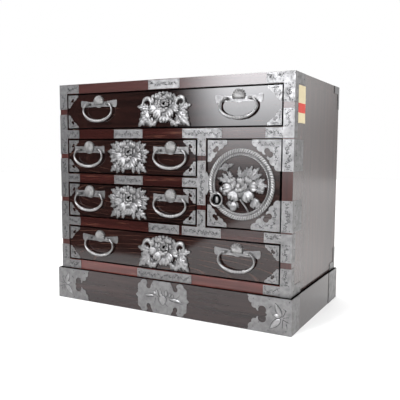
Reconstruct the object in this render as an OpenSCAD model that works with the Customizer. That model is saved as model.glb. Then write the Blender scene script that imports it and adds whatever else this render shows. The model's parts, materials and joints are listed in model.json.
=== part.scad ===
// A low clothes chest: three wide and narrow rows of drawers and a hinged door in a boarded body on a plinth,
// with iron corner plates, swinging bail handles and lock plates raised in the form of a peony.
// The origin is on the floor under the middle of the body. The front faces -Y.

/* [Body] */
// Width of the body across its front
body_w = 750; // [720:5:900]
// Depth of the body from front to back
body_d = 415; // [380:5:520]
// Thickness of the outer boards
board_t = 28; // [24:1:34]
// Height of the rails between the rows
rail_h = 28; // [24:1:34]
// Depth of the rails from front to back
rail_d = 60; // [44:1:90]
// Thickness of the back panel
back_t = 10; // [6:1:16]
// Width of the rebate that the back panel sits in
rebate = 8; // [4:1:14]
// Thickness of the dust panels behind the rails
dust_t = 6; // [4:1:10]
// Number of fingers in each top corner joint
fingers = 5; // [3:2:9]

/* [Rows] */
// Height of the opening of the top drawer
top_row_h = 107; // [104:1:140]
// Height of the opening of each small drawer
small_row_h = 104.5; // [104:0.5:130]
// Height of the opening of the bottom drawer
bottom_row_h = 107; // [104:1:140]
// Width of the door's opening
door_open_w = 213.5; // [210:0.5:240]
// Width of the partition beside the door
partition_w = 28; // [24:1:34]

/* [Plinth] */
// Height of the plinth
plinth_h = 95; // [80:1:120]
// Thickness of the plinth's boards
plinth_t = 24; // [18:1:30]
// How far the plinth stands out past each side of the body
plinth_side_out = 7; // [3:0.5:14]
// How far the plinth stands out past the front of the body
plinth_front_out = 10; // [4:0.5:16]
// How far the plinth stands out past the back of the body
plinth_back_out = 4; // [0:0.5:10]

/* [Drawers and door] */
// Thickness of the drawer fronts and the door panel
front_t = 20; // [16:1:24]
// Gap round a drawer front and round the door
seam = 2; // [1:0.25:3]
// How far the fronts stand back from the face of the body
front_recess = 1; // [0.5:0.25:3]
// Bevel on the edges of the fronts
front_bevel = 2.5; // [1:0.25:3]
// Gap between a drawer's back and the back panel
drawer_gap = 24; // [10:1:60]
// Thickness of a tray's sides and back
tray_t = 10; // [8:1:14]
// Thickness of a tray's bottom
tray_floor_t = 6; // [4:1:8]
// How far the top of a tray lies below the top of its opening
tray_drop = 12; // [8:1:24]
// Clearance under a tray
slide_gap = 0.3; // [0.2:0.1:1]
// Height of the hollow under a tray's bottom
tray_lift = 2; // [1:0.5:4]

/* [Plates] */
// Thickness of the iron plates
plate_t = 1.2; // [0.8:0.1:1.6]
// Reach of a joint plate's arms from the crossing of the board centrelines
reach = 59.5; // [45:0.5:66]
// Margin between a plate and the edge of its board
plate_margin = 1.5; // [0.5:0.25:2.5]
// Depth of the column plates on the sides
wrap_d = 25; // [15:1:40]
// Depth of the corner plates' arms on the sides
wrap_arm_d = 75; // [50:1:100]
// Half length of the rail plates
rail_plate_half = 50; // [35:1:60]
// Half length of the plate on the bottom board
bottom_plate_half = 90; // [60:1:110]
// Length of the rear corner plates' arms along the side
rear_arm = 54; // [40:1:70]
// Height of the rear corner plates' arms
rear_arm_h = 22; // [15:1:30]
// Length of the rear corner plates' legs
rear_leg = 67; // [50:1:80]
// Width of the rear corner plates' legs
rear_leg_w = 15; // [8:1:20]
// Width of a drawer's corner plate
corner_s = 38; // [30:1:42]
// Width of the door's corner plates on the lock side
door_corner_s = 57; // [45:1:62]
// Width of the plinth's corner plates
plinth_plate_w = 120; // [100:1:140]
// Depth of the plinth's corner plates on the sides
plinth_wrap_d = 60; // [40:1:90]
// Width of the plinth's middle plate
plinth_mid_w = 177; // [150:1:200]
// Length of the plinth's rear plates along the sides
plinth_rear_d = 86; // [60:1:110]

/* [Handles] */
// Distance of a handle from the middle of a wide drawer, as a share of its opening's width
wide_handle_share = 0.326; // [0.3:0.002:0.36]
// Distance of a handle from the middle of a small drawer, as a share of its opening's width
small_handle_share = 0.316; // [0.314:0.002:0.33]
// Width of a wide drawer's handle plate, as a share of its opening's width
wide_wing_share = 0.192; // [0.17:0.002:0.2]
// Width of a small drawer's handle plate, as a share of its opening's width
small_wing_share = 0.25; // [0.24:0.002:0.272]
// Height of a handle plate's wings
wing_h = 22; // [18:0.5:26]
// Height of the pivots above the middle of the opening
pivot_z = 20.5; // [16:0.5:22]
// Half distance between the pivots
pivot_x = 34; // [30:0.5:36]
// Distance of the pivots from the drawer's face
pivot_out = 8.5; // [8:0.25:10]
// Radius of the bail's pins
pin_r = 2; // [1.5:0.1:2.2]
// Radial clearance of the pins
pin_gap = 0.06; // [0.02:0.01:0.1]
// Radius of the heads that keep the pins in their eyes
head_r = 2.9; // [2.6:0.1:3.4]
// Length of the heads
head_l = 2; // [1:0.5:3]
// Clearance between the heads and the eyes
head_gap = 0.4; // [0.2:0.1:0.8]
// Wall of the eyes that hold the pins
eye_wall = 1.7; // [1.2:0.1:2]
// Length of the eyes
eye_l = 5; // [4:0.5:6]
// Thickness of the round foot of an eye
foot_t = 1.5; // [1:0.25:2]
// Width of that foot round the eye's post
foot_w = 2; // [1:0.5:3]
// Half width of the bail along its centreline
bail_a = 52; // [46:0.5:54]
// Depth of the bail's bow along its centreline
bail_b = 31; // [28:0.5:33]
// Radius of the bail in the middle
bail_r = 4.5; // [3.5:0.1:4.8]
// Radius of the bail at its ends
bail_end_r = 2.6; // [2.3:0.1:3]
// Radius of the fanned shell above a wide drawer's handle
fan_r = 19; // [16:0.5:20]
// Height of the fanned shell's middle above the pivots
fan_z = 5.5; // [5:0.5:8]
// Radius of the round shell above a small drawer's handle
shell_r = 19; // [15:0.5:20]
// Height of the round shell's middle above the pivots
shell_z = 6.5; // [5:0.5:8]
// Rise of both kinds of shell
shell_rise = 5; // [3:0.5:7]

/* [Locks] */
// Height of the keyhole above the middle of a wide drawer
keyhole_z = 14.5; // [12:0.5:18]
// Radius of the round part of a keyhole
keyhole_r = 3.2; // [2.5:0.1:3.5]
// Width of a keyhole's slot
keyhole_slot = 2.4; // [1.8:0.1:3]
// Length of a keyhole's slot from its middle
keyhole_l = 9; // [7:0.5:10]
// Width of a wide drawer's lock plate, as a share of its opening's width
wide_lock_share = 0.25; // [0.22:0.005:0.26]
// Width of a small drawer's lock plate, as a share of its opening's width
small_lock_share = 0.32; // [0.28:0.005:0.32]
// Height of a lock plate, as a share of its opening's height
lock_h_share = 0.89; // [0.8:0.01:0.9]
// Thickness of the lock plates' backing
ornament_t = 1.6; // [1.2:0.1:2.4]
// Rise of the highest petals above the backing
petal_rise = 7; // [4:0.5:9]
// Width of a lock case
case_w = 60; // [50:1:70]
// Height of a lock case below its keyhole
case_below = 20; // [14:1:24]
// Depth of a lock case
case_d = 12; // [10:0.5:16]
// Wall of a lock case
case_wall = 1.5; // [1:0.1:2]
// Thickness of a lock case's end, which guides the bolt
case_lip = 6; // [3:0.5:8]
// Width of a lock bolt
bolt_w = 16; // [12:1:20]
// Thickness of a lock bolt
bolt_t = 6; // [5:0.5:8]
// Distance of a lock bolt from the round part of its keyhole
bolt_key_gap = 3.4; // [2:0.1:5]
// Clearance round a lock bolt
bolt_gap = 0.3; // [0.2:0.1:0.6]
// Further clearance of the mortises round their bolts
mortise_gap = 0.7; // [0.3:0.1:1.5]
// Travel of a lock bolt
bolt_travel = 9; // [6:0.5:10]

/* [Door fittings] */
// Outer radius of the round band, as a share of the width of the door's opening
band_share = 0.437; // [0.39:0.001:0.44]
// How far the band's middle lies from the middle of the opening, towards the lock
band_off = 5; // [3:0.5:6]
// Width of the round band
band_w = 15.5; // [12:0.5:18]
// Rise of the round band
band_rise = 6; // [4:0.5:8]
// Height of the hinge plates, and width of those on the door, as a share of the door's height
hinge_share = 0.339; // [0.26:0.001:0.34]
// Depth of the hinge plates on the side of the body
hinge_wrap_d = 72; // [50:1:100]
// Gap between the door and its hinge side
hinge_seam = 4; // [4:0.25:5]
// Radius of the hinge knuckles
knuckle_r = 1.7; // [1.6:0.05:1.8]
// Clearance between the knuckles along the hinge pins
knuckle_gap = 0.3; // [0.2:0.05:0.5]
// Radius of the hinge pins
hinge_pin_r = 0.9; // [0.8:0.05:1]
// Height of the plate that covers the seam beside the door's lock
cover_h = 62; // [50:1:70]
// How far that plate reaches over the partition
cover_over = 2.5; // [1:0.25:4]
// Clearance between that plate and the partition's plate
cover_gap = 0.3; // [0.2:0.1:0.6]
// Distance of the door's keyhole from the middle of the band, as a share of the band's radius
door_key_share = 0.641; // [0.6:0.001:0.69]
// Distance of the pull ring's staple from the middle of the band, as a share of the band's radius
pull_share = 0.717; // [0.7:0.001:0.74]
// Height of the staple below the middle of the band, as a share of the band's radius
pull_drop_share = 0.261; // [0.24:0.001:0.3]
// Radius of the pull ring along its centreline
pull_r = 17; // [14:0.5:20]
// Radius of the pull ring's wire
pull_wire = 2; // [1.6:0.1:2.3]
// Distance of the pull ring from the door's face
pull_out = 9.5; // [9.5:0.25:12]
// Clearance of the pull ring in its staple
pull_gap = 0.6; // [0.4:0.1:1]
// Length of the staple's eye
pull_l = 4; // [3:0.5:6]

/* [Hidden] */
// Shares of a corner plate's size: the lobes on each arm with their radii, and the heart on the diagonal
CORNER_LOBES = [[0.85, 0.08, 0.15], [0.68, 0.24, 0.15], [0.55, 0.38, 0.1]];
CORNER_HEART = 0.42;
CORNER_HEART_SPREAD = 0.075;
CORNER_HEART_R = 0.1;
// The plinth's corner plate as drawn: its size, waist, lobes with their radii, heart, cusp and mouth
PLINTH_CORNER_SIZE = [120, 93.5];
PLINTH_CORNER_WAIST = 86;
PLINTH_CORNER_LOBES = [[107, 36, 10], [99, 22, 8.5], [89, 13, 5.5]];
PLINTH_HEART = [78, 11, 11];
PLINTH_CUSP = [72, 11.3];
PLINTH_MOUTH = 14;
// The plinth's middle plate as drawn: its size, the slab's half widths at its edge and shoulder with the
// shoulder's height, the wings' half size, the lobes and bays with their radii, and the end tips
PLINTH_MIDDLE_SIZE = [177, 93.5];
PLINTH_SLAB = [28, 41, 24];
PLINTH_WINGS = [81, 26];
PLINTH_MIDDLE_LOBES = [[60, 34.25, 12.5], [72, 27, 9]];
PLINTH_MIDDLE_BAYS = [[44.5, 29, 7.5]];
PLINTH_TIP = 14;
// Angle between the lobes of a fanned shell
fan_step = 22.5;
DRAWERS = ["top_drawer", "upper_drawer", "lower_drawer", "bottom_drawer"];
DRAWER_PIECES = ["front", "tray", "corner_plates", "handle_plates", "lock_plate", "lock_case", "lock_bolt",
    "left_bail", "right_bail"];
BODY_PIECES = ["top_board", "bottom_board", "left_side", "right_side", "back_panel", "upper_rail",
    "middle_rail", "lower_rail", "centre_partition", "dust_panels", "plinth_frame", "column_plates",
    "rail_plates", "rear_corner_plates", "plinth_plates", "hinge_frame_leaves"];
DOOR_PIECES = ["door_panel", "door_corner_plates", "hinge_door_leaves", "door_band", "door_peony",
    "door_lock", "door_bolt", "door_pull_ring"];

$fn = 48;
LACQUER = [0.17, 0.09, 0.08];
FRAME_WOOD = [0.36, 0.19, 0.16];
PALE_WOOD = [0.72, 0.6, 0.45];
IRON = [0.62, 0.62, 0.64];
BRIGHT_IRON = [0.74, 0.74, 0.76];
DARK_IRON = [0.3, 0.3, 0.32];

// An overshoot for cuts, and the least distance between solids that stay separate
past = 1;
apart = 0.1;

// Levels, from the floor up
bottom_z = plinth_h;
row4_z = bottom_z + board_t;
lower_rail_z = row4_z + bottom_row_h;
row3_z = lower_rail_z + rail_h;
middle_rail_z = row3_z + small_row_h;
row2_z = middle_rail_z + rail_h;
upper_rail_z = row2_z + small_row_h;
row1_z = upper_rail_z + rail_h;
top_board_z = row1_z + top_row_h;
body_top = top_board_z + board_t;

// Places across the front and from front to back
half_w = body_w / 2;
inner_x = half_w - board_t;
front_y = -body_d / 2;
back_y = body_d / 2;
part_x1 = inner_x - door_open_w;
part_x0 = part_x1 - partition_w;
part_mid = (part_x0 + part_x1) / 2;
small_mid = (part_x0 - inner_x) / 2;
column_mid = half_w - board_t / 2;
face_y = front_y + front_recess;
tray_y = face_y + front_t;
panel_y = back_y - back_t;

// Openings of the drawers: left, right, bottom and top
OPENINGS = [
    [-inner_x, inner_x, row1_z, top_board_z],
    [-inner_x, part_x0, row2_z, upper_rail_z],
    [-inner_x, part_x0, row3_z, middle_rail_z],
    [-inner_x, inner_x, row4_z, lower_rail_z]
];
function is_wide(i) = i == 0 || i == 3;
function mid_x(i) = (OPENINGS[i][0] + OPENINGS[i][1]) / 2;
function mid_z(i) = (OPENINGS[i][2] + OPENINGS[i][3]) / 2;
function open_w(i) = OPENINGS[i][1] - OPENINGS[i][0];
function open_h(i) = OPENINGS[i][3] - OPENINGS[i][2];
function handle_x(i) = open_w(i) * (is_wide(i) ? wide_handle_share : small_handle_share);
function wing_w(i) = open_w(i) * (is_wide(i) ? wide_wing_share : small_wing_share);

// The door's leaf
door_x0 = part_x1 + seam;
door_x1 = inner_x - hinge_seam;
door_z0 = row3_z + seam;
door_z1 = upper_rail_z - seam;
band_r = band_share * door_open_w;
band_x = (part_x1 + inner_x) / 2 - band_off;
band_z = (door_z0 + door_z1) / 2;
hinge_h = hinge_share * (door_z1 - door_z0);
hinge_x = inner_x - hinge_seam / 2;
hinge_y = front_y - plate_t / 2;
door_key = band_x - door_key_share * band_r;
pull_x = band_x - pull_share * band_r;
pull_z = band_z - pull_drop_share * band_r;

// Draws a flat shape, given in X and Z, as a plate whose back lies at y and whose face points to the front
module on_front(y, t) {
    translate([0, y, 0]) rotate([90, 0, 0]) linear_extrude(t) children();
}

// Draws a flat shape, given in Y and Z, as a plate on the right side of the body
module on_side(x, t) {
    translate([x, 0, 0]) rotate([90, 0, 90]) linear_extrude(t) children();
}

// A rectangle from one corner to the other
module rect(x0, y0, x1, y1) {
    translate([x0, y0]) square([x1 - x0, y1 - y0]);
}

// A block from one corner to the other
module block(a, b) {
    translate(a) cube(b - a);
}

// Both the right side of a thing and its mirror image on the left
module both_sides() {
    children();
    mirror([1, 0, 0]) children();
}

// Carcass

// The stretches of the top corner joint that belong to one of its two boards
module joint_fingers(first) {
    pitch = body_d / fingers;
    for (i = [first:2:fingers - 1])
        block([inner_x, front_y + i * pitch, top_board_z], [half_w, front_y + (i + 1) * pitch, body_top]);
}

// The space that the back panel fills, with its rebate
module back_space(y_end) {
    block([-inner_x - rebate, panel_y, row4_z - rebate], [inner_x + rebate, y_end, top_board_z + rebate]);
}

module top_board() {
    color(FRAME_WOOD) difference() {
        union() {
            block([-inner_x, front_y, top_board_z], [inner_x, back_y, body_top]);
            both_sides() joint_fingers(0);
        }
        bolt_mortise(mid_x(0), top_board_z);
        back_space(back_y + past);
    }
}

module bottom_board() {
    color(FRAME_WOOD) difference() {
        block([-inner_x, front_y, bottom_z], [inner_x, back_y, row4_z]);
        back_space(back_y + past);
    }
}

module right_side() {
    color(FRAME_WOOD) difference() {
        union() {
            block([inner_x, front_y, bottom_z], [half_w, back_y, top_board_z]);
            joint_fingers(1);
        }
        back_space(back_y + past);
    }
}

module left_side() {
    mirror([1, 0, 0]) right_side();
}

module back_panel() {
    color(PALE_WOOD) back_space(back_y);
}

// A rail along the front, with a mortise for the bolt of the drawer below it
module rail(x1, z, bolt_x) {
    color(FRAME_WOOD) difference() {
        block([-inner_x, front_y, z], [x1, front_y + rail_d, z + rail_h]);
        bolt_mortise(bolt_x, z);
    }
}

// The hole that a drawer's bolt rises into, above its lock case
module bolt_mortise(x, z) {
    room = bolt_gap + mortise_gap;
    y = tray_y + case_d / 2;
    block([x - bolt_w / 2 - room, y - bolt_t / 2 - room, z - past],
        [x + bolt_w / 2 + room, y + bolt_t / 2 + room, z + bolt_travel + room]);
}

module upper_rail() {
    rail(inner_x, upper_rail_z, mid_x(1));
}

module middle_rail() {
    rail(part_x0, middle_rail_z, mid_x(2));
}

module lower_rail() {
    rail(inner_x, lower_rail_z, mid_x(3));
}

module centre_partition() {
    room = bolt_gap + mortise_gap;
    y = tray_y + case_d / 2;
    color(FRAME_WOOD) difference() {
        block([part_x0, front_y, row3_z], [part_x1, panel_y, upper_rail_z]);
        block([part_x1 - bolt_travel - room, y - bolt_t / 2 - room, band_z - bolt_w / 2 - room],
            [part_x1 + past, y + bolt_t / 2 + room, band_z + bolt_w / 2 + room]);
        block([part_x0 - past, front_y + rail_d, middle_rail_z + rail_h - dust_t],
            [part_x0 + rebate, panel_y + past, middle_rail_z + rail_h]);
    }
}

// The panels that close the rows off from each other behind the rails
module dust_panels() {
    color(PALE_WOOD) {
        block([-inner_x, front_y + rail_d, row1_z - dust_t], [inner_x, panel_y, row1_z]);
        block([-inner_x, front_y + rail_d, row2_z - dust_t], [part_x0 + rebate, panel_y, row2_z]);
        block([-inner_x, front_y + rail_d, row3_z - dust_t], [inner_x, panel_y, row3_z]);
    }
}

module plinth_frame() {
    x = half_w + plinth_side_out;
    y0 = front_y - plinth_front_out;
    y1 = back_y + plinth_back_out;
    color(LACQUER) difference() {
        block([-x, y0, 0], [x, y1, plinth_h]);
        block([plinth_t - x, y0 + plinth_t, -past], [x - plinth_t, y1 - plinth_t, plinth_h + past]);
    }
}

// Plates on the body

// One arm of a joint plate on the face of the body, as a flat shape
module arm_along_x(x0, x1, z_mid, h) {
    rect(x0, z_mid - h / 2 + plate_margin, x1, z_mid + h / 2 - plate_margin);
}

// The plate where the right column meets a rail, as a flat shape, reaching down and up by the amounts given
module column_joint_2d(z_mid, h, down, up) {
    rect(inner_x, z_mid - down, half_w + plate_t, z_mid + up);
    arm_along_x(column_mid - reach, half_w + plate_t, z_mid, h);
}

// The same plate's wrap on the side of the body
module column_wrap_2d(z0, z1) {
    rect(front_y - plate_t, z0, front_y + wrap_d, z1);
}

// A corner plate at the top or the bottom of the right column, bent round onto the side
module column_corner(z_mid, down, up) {
    on_front(front_y, plate_t) intersection() {
        column_joint_2d(z_mid, board_t, down, up);
        rect(0, bottom_z, half_w + plate_t, body_top);
    }
    on_side(half_w, plate_t) {
        column_wrap_2d(z_mid - down, z_mid + up);
        rect(front_y - plate_t, z_mid - board_t / 2, front_y + wrap_arm_d, z_mid + board_t / 2);
    }
}

// A tee plate where the right column meets a rail, bent round onto the side
module column_tee(z_mid, down, up) {
    on_front(front_y, plate_t) column_joint_2d(z_mid, rail_h, down, up);
    on_side(half_w, plate_t) column_wrap_2d(z_mid - down, z_mid + up);
}

module column_plates() {
    half_arm = rail_h / 2 - plate_margin;
    color(IRON) {
        both_sides() {
            column_corner(top_board_z + board_t / 2, reach, board_t / 2);
            column_corner(bottom_z + board_t / 2, board_t / 2, reach);
        }
        column_tee(upper_rail_z + rail_h / 2, half_arm, reach);
        column_tee(lower_rail_z + rail_h / 2, reach, half_arm);
        for (z = [upper_rail_z, middle_rail_z, lower_rail_z])
            mirror([1, 0, 0]) column_tee(z + rail_h / 2, reach, reach);
    }
}

module rail_plates() {
    upper_mid = upper_rail_z + rail_h / 2;
    middle_mid = middle_rail_z + rail_h / 2;
    lower_mid = lower_rail_z + rail_h / 2;
    half_leg = partition_w / 2 - plate_margin;
    color(IRON) on_front(front_y, plate_t) {
        arm_along_x(-rail_plate_half, rail_plate_half, top_board_z + board_t / 2, board_t);
        for (z = [upper_mid, middle_mid])
            arm_along_x(small_mid - rail_plate_half, small_mid + rail_plate_half, z, rail_h);
        arm_along_x(-rail_plate_half, rail_plate_half, lower_mid, rail_h);
        arm_along_x(-bottom_plate_half, bottom_plate_half, bottom_z + board_t / 2, board_t);
        arm_along_x(part_mid - reach, part_mid + reach, upper_mid, rail_h);
        rect(part_mid - half_leg, upper_mid - reach, part_mid + half_leg, upper_mid);
        arm_along_x(part_mid - reach, part_mid, middle_mid, rail_h);
        rect(part_mid - half_leg, middle_mid - reach, part_mid + half_leg, middle_mid + reach);
        arm_along_x(part_mid - reach, part_mid + reach, lower_mid, rail_h);
        rect(part_mid - half_leg, lower_mid, part_mid + half_leg, lower_mid + reach);
    }
}

module rear_corner_plates() {
    color(IRON) both_sides() on_side(half_w, plate_t) {
        rect(back_y - rear_arm, body_top - rear_arm_h, back_y, body_top);
        rect(back_y - rear_leg_w, body_top - rear_leg, back_y, body_top);
        rect(back_y - rear_arm, bottom_z, back_y, bottom_z + rear_arm_h);
        rect(back_y - rear_leg_w, bottom_z, back_y, bottom_z + rear_leg);
    }
}

// A round lobe for each place and radius in a list, above and below the middle line
module paired_lobes(list) {
    for (p = list)
        for (s = [-1, 1])
            translate([p[0], s * p[1]]) circle(p[2]);
}

// The plate on a front corner of the plinth, from its outer edge inwards, with a heart-shaped notch
module plinth_corner_2d(w, h) {
    full = PLINTH_CORNER_SIZE[0];
    half = PLINTH_CORNER_SIZE[1] / 2;
    scale([w / full, h / (2 * half)]) translate([0, half]) difference() {
        union() {
            polygon([[0, -half], [full, -half], [PLINTH_CORNER_WAIST, 0], [full, half], [0, half]]);
            paired_lobes(PLINTH_CORNER_LOBES);
        }
        paired_lobes([PLINTH_HEART]);
        translate([PLINTH_CUSP[0], 0]) rotate(45) square(PLINTH_CUSP[1], center = true);
        translate([PLINTH_HEART[0], -PLINTH_MOUTH / 2]) square([full, PLINTH_MOUTH]);
    }
}

// The middle plate of the plinth: a slab and four lobes, with a round bay between the slab and each lobe
module plinth_middle_2d(w, h) {
    full = PLINTH_MIDDLE_SIZE[0];
    half = PLINTH_MIDDLE_SIZE[1] / 2;
    tip = full / 2 - PLINTH_TIP / sqrt(2);
    scale([w / full, h / (2 * half)]) for (m = [0, 1])
        mirror([m, 0]) difference() {
            union() {
                polygon([
                    [0, -half], [PLINTH_SLAB[0], -half], [PLINTH_SLAB[1], -PLINTH_SLAB[2]],
                    [PLINTH_SLAB[1], PLINTH_SLAB[2]], [PLINTH_SLAB[0], half], [0, half]
                ]);
                translate([0, -PLINTH_WINGS[1]]) square([PLINTH_WINGS[0], 2 * PLINTH_WINGS[1]]);
                translate([tip, 0]) rotate(45) square(PLINTH_TIP, center = true);
                paired_lobes(PLINTH_MIDDLE_LOBES);
            }
            paired_lobes(PLINTH_MIDDLE_BAYS);
        }
}

module plinth_plates() {
    x = half_w + plinth_side_out;
    y0 = front_y - plinth_front_out;
    y1 = back_y + plinth_back_out;
    z0 = plate_margin / 2;
    h = plinth_h - 2 * z0;
    color(IRON) {
        both_sides() {
            on_front(y0, plate_t) translate([x, z0]) mirror([1, 0]) plinth_corner_2d(plinth_plate_w, h);
            on_side(x, plate_t) rect(y0 - plate_t, z0, y0 + plinth_wrap_d, z0 + h);
            on_side(x, plate_t) rect(y1 - plinth_rear_d, z0, y1, z0 + h);
        }
        on_front(y0, plate_t) translate([0, plinth_h / 2]) plinth_middle_2d(plinth_mid_w, h);
    }
}

// Fronts and drawers

// A board with bevelled front edges, whose face lies at y
module bevelled_front(x0, x1, z0, z1, y) {
    b = front_bevel;
    hull() {
        block([x0 + b, y, z0 + b], [x1 - b, y + front_t, z1 - b]);
        block([x0, y + b, z0], [x1, y + front_t, z1]);
    }
}

// The outline of a keyhole: a round hole with a slot that runs up to the right
module keyhole_2d() {
    circle(keyhole_r);
    rotate(40) translate([0, -keyhole_slot / 2]) square([keyhole_l, keyhole_slot]);
}

// A keyhole cut from in front of the lock plate to the inside of the lock case
module keyhole_cut(x, z) {
    translate([x, tray_y + case_wall + past, z]) rotate([90, 0, 0])
        linear_extrude(front_t + 4 * petal_rise) keyhole_2d();
}

module drawer_front(i) {
    o = OPENINGS[i];
    color(LACQUER) difference() {
        bevelled_front(o[0] + seam, o[1] - seam, o[2] + seam, o[3] - seam, face_y);
        keyhole_cut(mid_x(i), mid_z(i) + keyhole_z);
    }
}

module drawer_tray(i) {
    o = OPENINGS[i];
    x0 = o[0] + seam;
    x1 = o[1] - seam;
    z0 = o[2] + slide_gap;
    z1 = o[3] - tray_drop;
    y1 = panel_y - drawer_gap;
    floor_z = z0 + tray_lift;
    color(PALE_WOOD) difference() {
        block([x0, tray_y, z0], [x1, y1, z1]);
        block([x0 + tray_t, tray_y - past, floor_z + tray_floor_t], [x1 - tray_t, y1 - tray_t, z1 + past]);
        block([x0 + tray_t, tray_y - past, z0 - past], [x1 - tray_t, y1 - tray_t, floor_z]);
    }
}

// A corner plate with its corner at the origin: two lobed arms and a heart-shaped notch on the diagonal
module corner_2d(s) {
    scale(s) difference() {
        intersection() {
            union() {
                polygon([[0, 0], [1, 0], [0, 1]]);
                for (m = [0, 1])
                    mirror([m, -m])
                        for (p = CORNER_LOBES)
                            translate([p[0], p[1]]) circle(p[2]);
            }
            square(1);
        }
        translate([CORNER_HEART, CORNER_HEART]) rotate(-45) {
            paired_across(CORNER_HEART_SPREAD) circle(CORNER_HEART_R);
            translate([-CORNER_HEART_R / 2, 0]) square([CORNER_HEART_R, 1]);
        }
    }
}

// Its children twice, moved out to both sides by a distance
module paired_across(x) {
    for (s = [-1, 1])
        translate([s * x, 0]) children();
}

module drawer_corner_plates(i) {
    o = OPENINGS[i];
    edge = seam + front_bevel;
    wing_x = handle_x(i) + wing_w(i) / 2 + apart;
    wing_z = wing_h / 2 + apart;
    color(IRON) on_front(face_y, plate_t) difference() {
        for (sx = [0, 1])
            for (sz = [0, 1])
                translate([sx == 0 ? o[0] + edge : o[1] - edge, sz == 0 ? o[2] + edge : o[3] - edge])
                    mirror([sx, 0]) mirror([0, sz]) corner_2d(corner_s);
        translate([mid_x(i), mid_z(i) + pivot_z]) square([2 * wing_x, 2 * wing_z], center = true);
    }
}

// Handles

// The flat shape of a wide drawer's handle plate: a bar whose arms rise to pointed ends under a fanned shell
module wide_wing_2d(w) {
    for (m = [0, 1])
        mirror([m, 0]) polygon([
            [0, -0.36 * wing_h], [w / 2 - 0.9 * wing_h, -0.38 * wing_h],
            [w / 2 - 0.3 * wing_h, -0.5 * wing_h], [w / 2 - 0.1 * wing_h, -0.4 * wing_h],
            [w / 2 - 0.02 * wing_h, -0.15 * wing_h],
            [w / 2, 0.3 * wing_h], [w / 2 - 0.1 * wing_h, 0.5 * wing_h],
            [w / 2 - 0.4 * wing_h, 0.46 * wing_h], [fan_r, 0.26 * wing_h], [0, 0.26 * wing_h]
        ]);
    intersection() {
        translate([0, fan_z]) for (a = [0:fan_step:180]) rotate(a)
            translate([0.84 * fan_r, 0]) circle(0.2 * fan_r);
        translate([-2 * fan_r, 0]) square(4 * fan_r);
    }
    polygon([[-fan_r, fan_z], [0, -0.1 * wing_h], [fan_r, fan_z]]);
    translate([0, fan_z]) circle(0.86 * fan_r, $fn = 48);
}

// The flat shape of a small drawer's handle plate, a plain bar with flared ends under a round shell
module small_wing_2d(w) {
    waist = 0.43 * wing_h;
    for (m = [0, 1])
        mirror([m, 0]) polygon([
            [0, -waist], [w / 2 - 0.4 * wing_h, -waist], [w / 2, -wing_h / 2], [w / 2, wing_h / 2],
            [w / 2 - 0.64 * wing_h, waist], [0, waist]
        ]);
    translate([0, shell_z]) circle(shell_r);
}

// The raised shell, the part of a ball that lies above a foot line
module shell(r, rise, foot) {
    ball = (r * r + rise * rise) / (2 * rise);
    intersection() {
        translate([0, 0, rise - ball]) sphere(ball, $fn = 96);
        cylinder(h = rise + past, r = r - 0.5);
        translate([-r, -foot, -past]) cube([2 * r, r + foot, rise + 2 * past]);
    }
}

// One post with the eye that holds an end of the bail
module eye_post(x) {
    out = pivot_out - plate_t;
    eye_r = pin_r + pin_gap + eye_wall;
    translate([x, 0, 0]) difference() {
        union() {
            cylinder(h = out, r = 0.4 * eye_l);
            cylinder(h = foot_t, r = 0.4 * eye_l + foot_w);
            translate([-eye_l / 2, 0, out]) rotate([0, 90, 0]) cylinder(h = eye_l, r = eye_r);
        }
        translate([-eye_l, 0, out]) rotate([0, 90, 0]) cylinder(h = 2 * eye_l, r = pin_r + pin_gap);
    }
}

module drawer_handle_plates(i) {
    color(IRON) for (s = [-1, 1])
        translate([mid_x(i) + s * handle_x(i), face_y, mid_z(i) + pivot_z]) rotate([90, 0, 0]) {
            linear_extrude(plate_t)
                if (is_wide(i)) wide_wing_2d(wing_w(i));
                else small_wing_2d(wing_w(i));
            if (is_wide(i)) translate([0, fan_z, plate_t]) shell(0.9 * fan_r, shell_rise, fan_z);
            else translate([0, shell_z, plate_t]) shell(shell_r, shell_rise, shell_z + 0.4 * wing_h);
            for (x = [-pivot_x, pivot_x])
                translate([0, 0, plate_t]) eye_post(x);
        }
}

// The bail's centreline: an ellipse that runs on past its ends, which stand level with the pivots
bail_curl = 37.5;
bail_drop = bail_b * sin(bail_curl);
bail_end_x = bail_a * cos(bail_curl);
bail_steps = 22;
bail_sides = 10;
function bail_angle(k) = -bail_curl + (180 + 2 * bail_curl) * k / bail_steps;
function bail_point(a) = [bail_a * cos(a), -bail_drop - bail_b * sin(a)];
function bail_radius(a) = bail_end_r + (bail_r - bail_end_r) * pow(max(0, sin(a)), 1.5);
function bail_normal(a) = let (n = [bail_b * cos(a), -bail_a * sin(a)]) n / norm(n);
function bail_ring(p, n, r) = [
    for (j = [0:bail_sides - 1])
        let (t = 360 * j / bail_sides) [p[0] + r * cos(t) * n[0], r * sin(t), p[1] + r * cos(t) * n[1]]
];

// The bow of the bail, swept along its centreline in X and Z, with short level ends
module bail_bow() {
    stub_x = bail_end_x - bail_end_r;
    bow = [for (k = [0:bail_steps])
        let (a = bail_angle(k)) bail_ring(bail_point(a), bail_normal(a), bail_radius(a))];
    first = bail_ring([stub_x, 0], [0, 1], bail_end_r);
    end = bail_ring([-stub_x, 0], [0, 1], bail_end_r);
    rings = concat([first], bow, [end]);
    last = (len(rings) - 1) * bail_sides;
    sides = [
        for (k = [0:len(rings) - 2])
            for (j = [0:bail_sides - 1])
                let (a = k * bail_sides + j, b = k * bail_sides + (j + 1) % bail_sides)
                    for (f = [[a, b, b + bail_sides], [a, b + bail_sides, a + bail_sides]]) f
    ];
    first_cap = [for (j = [1:bail_sides - 2]) [0, j + 1, j]];
    last_cap = [for (j = [1:bail_sides - 2]) [last, last + j, last + j + 1]];
    polyhedron(points = [for (ring = rings) for (p = ring) p], faces = concat(sides, first_cap, last_cap));
}

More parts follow.
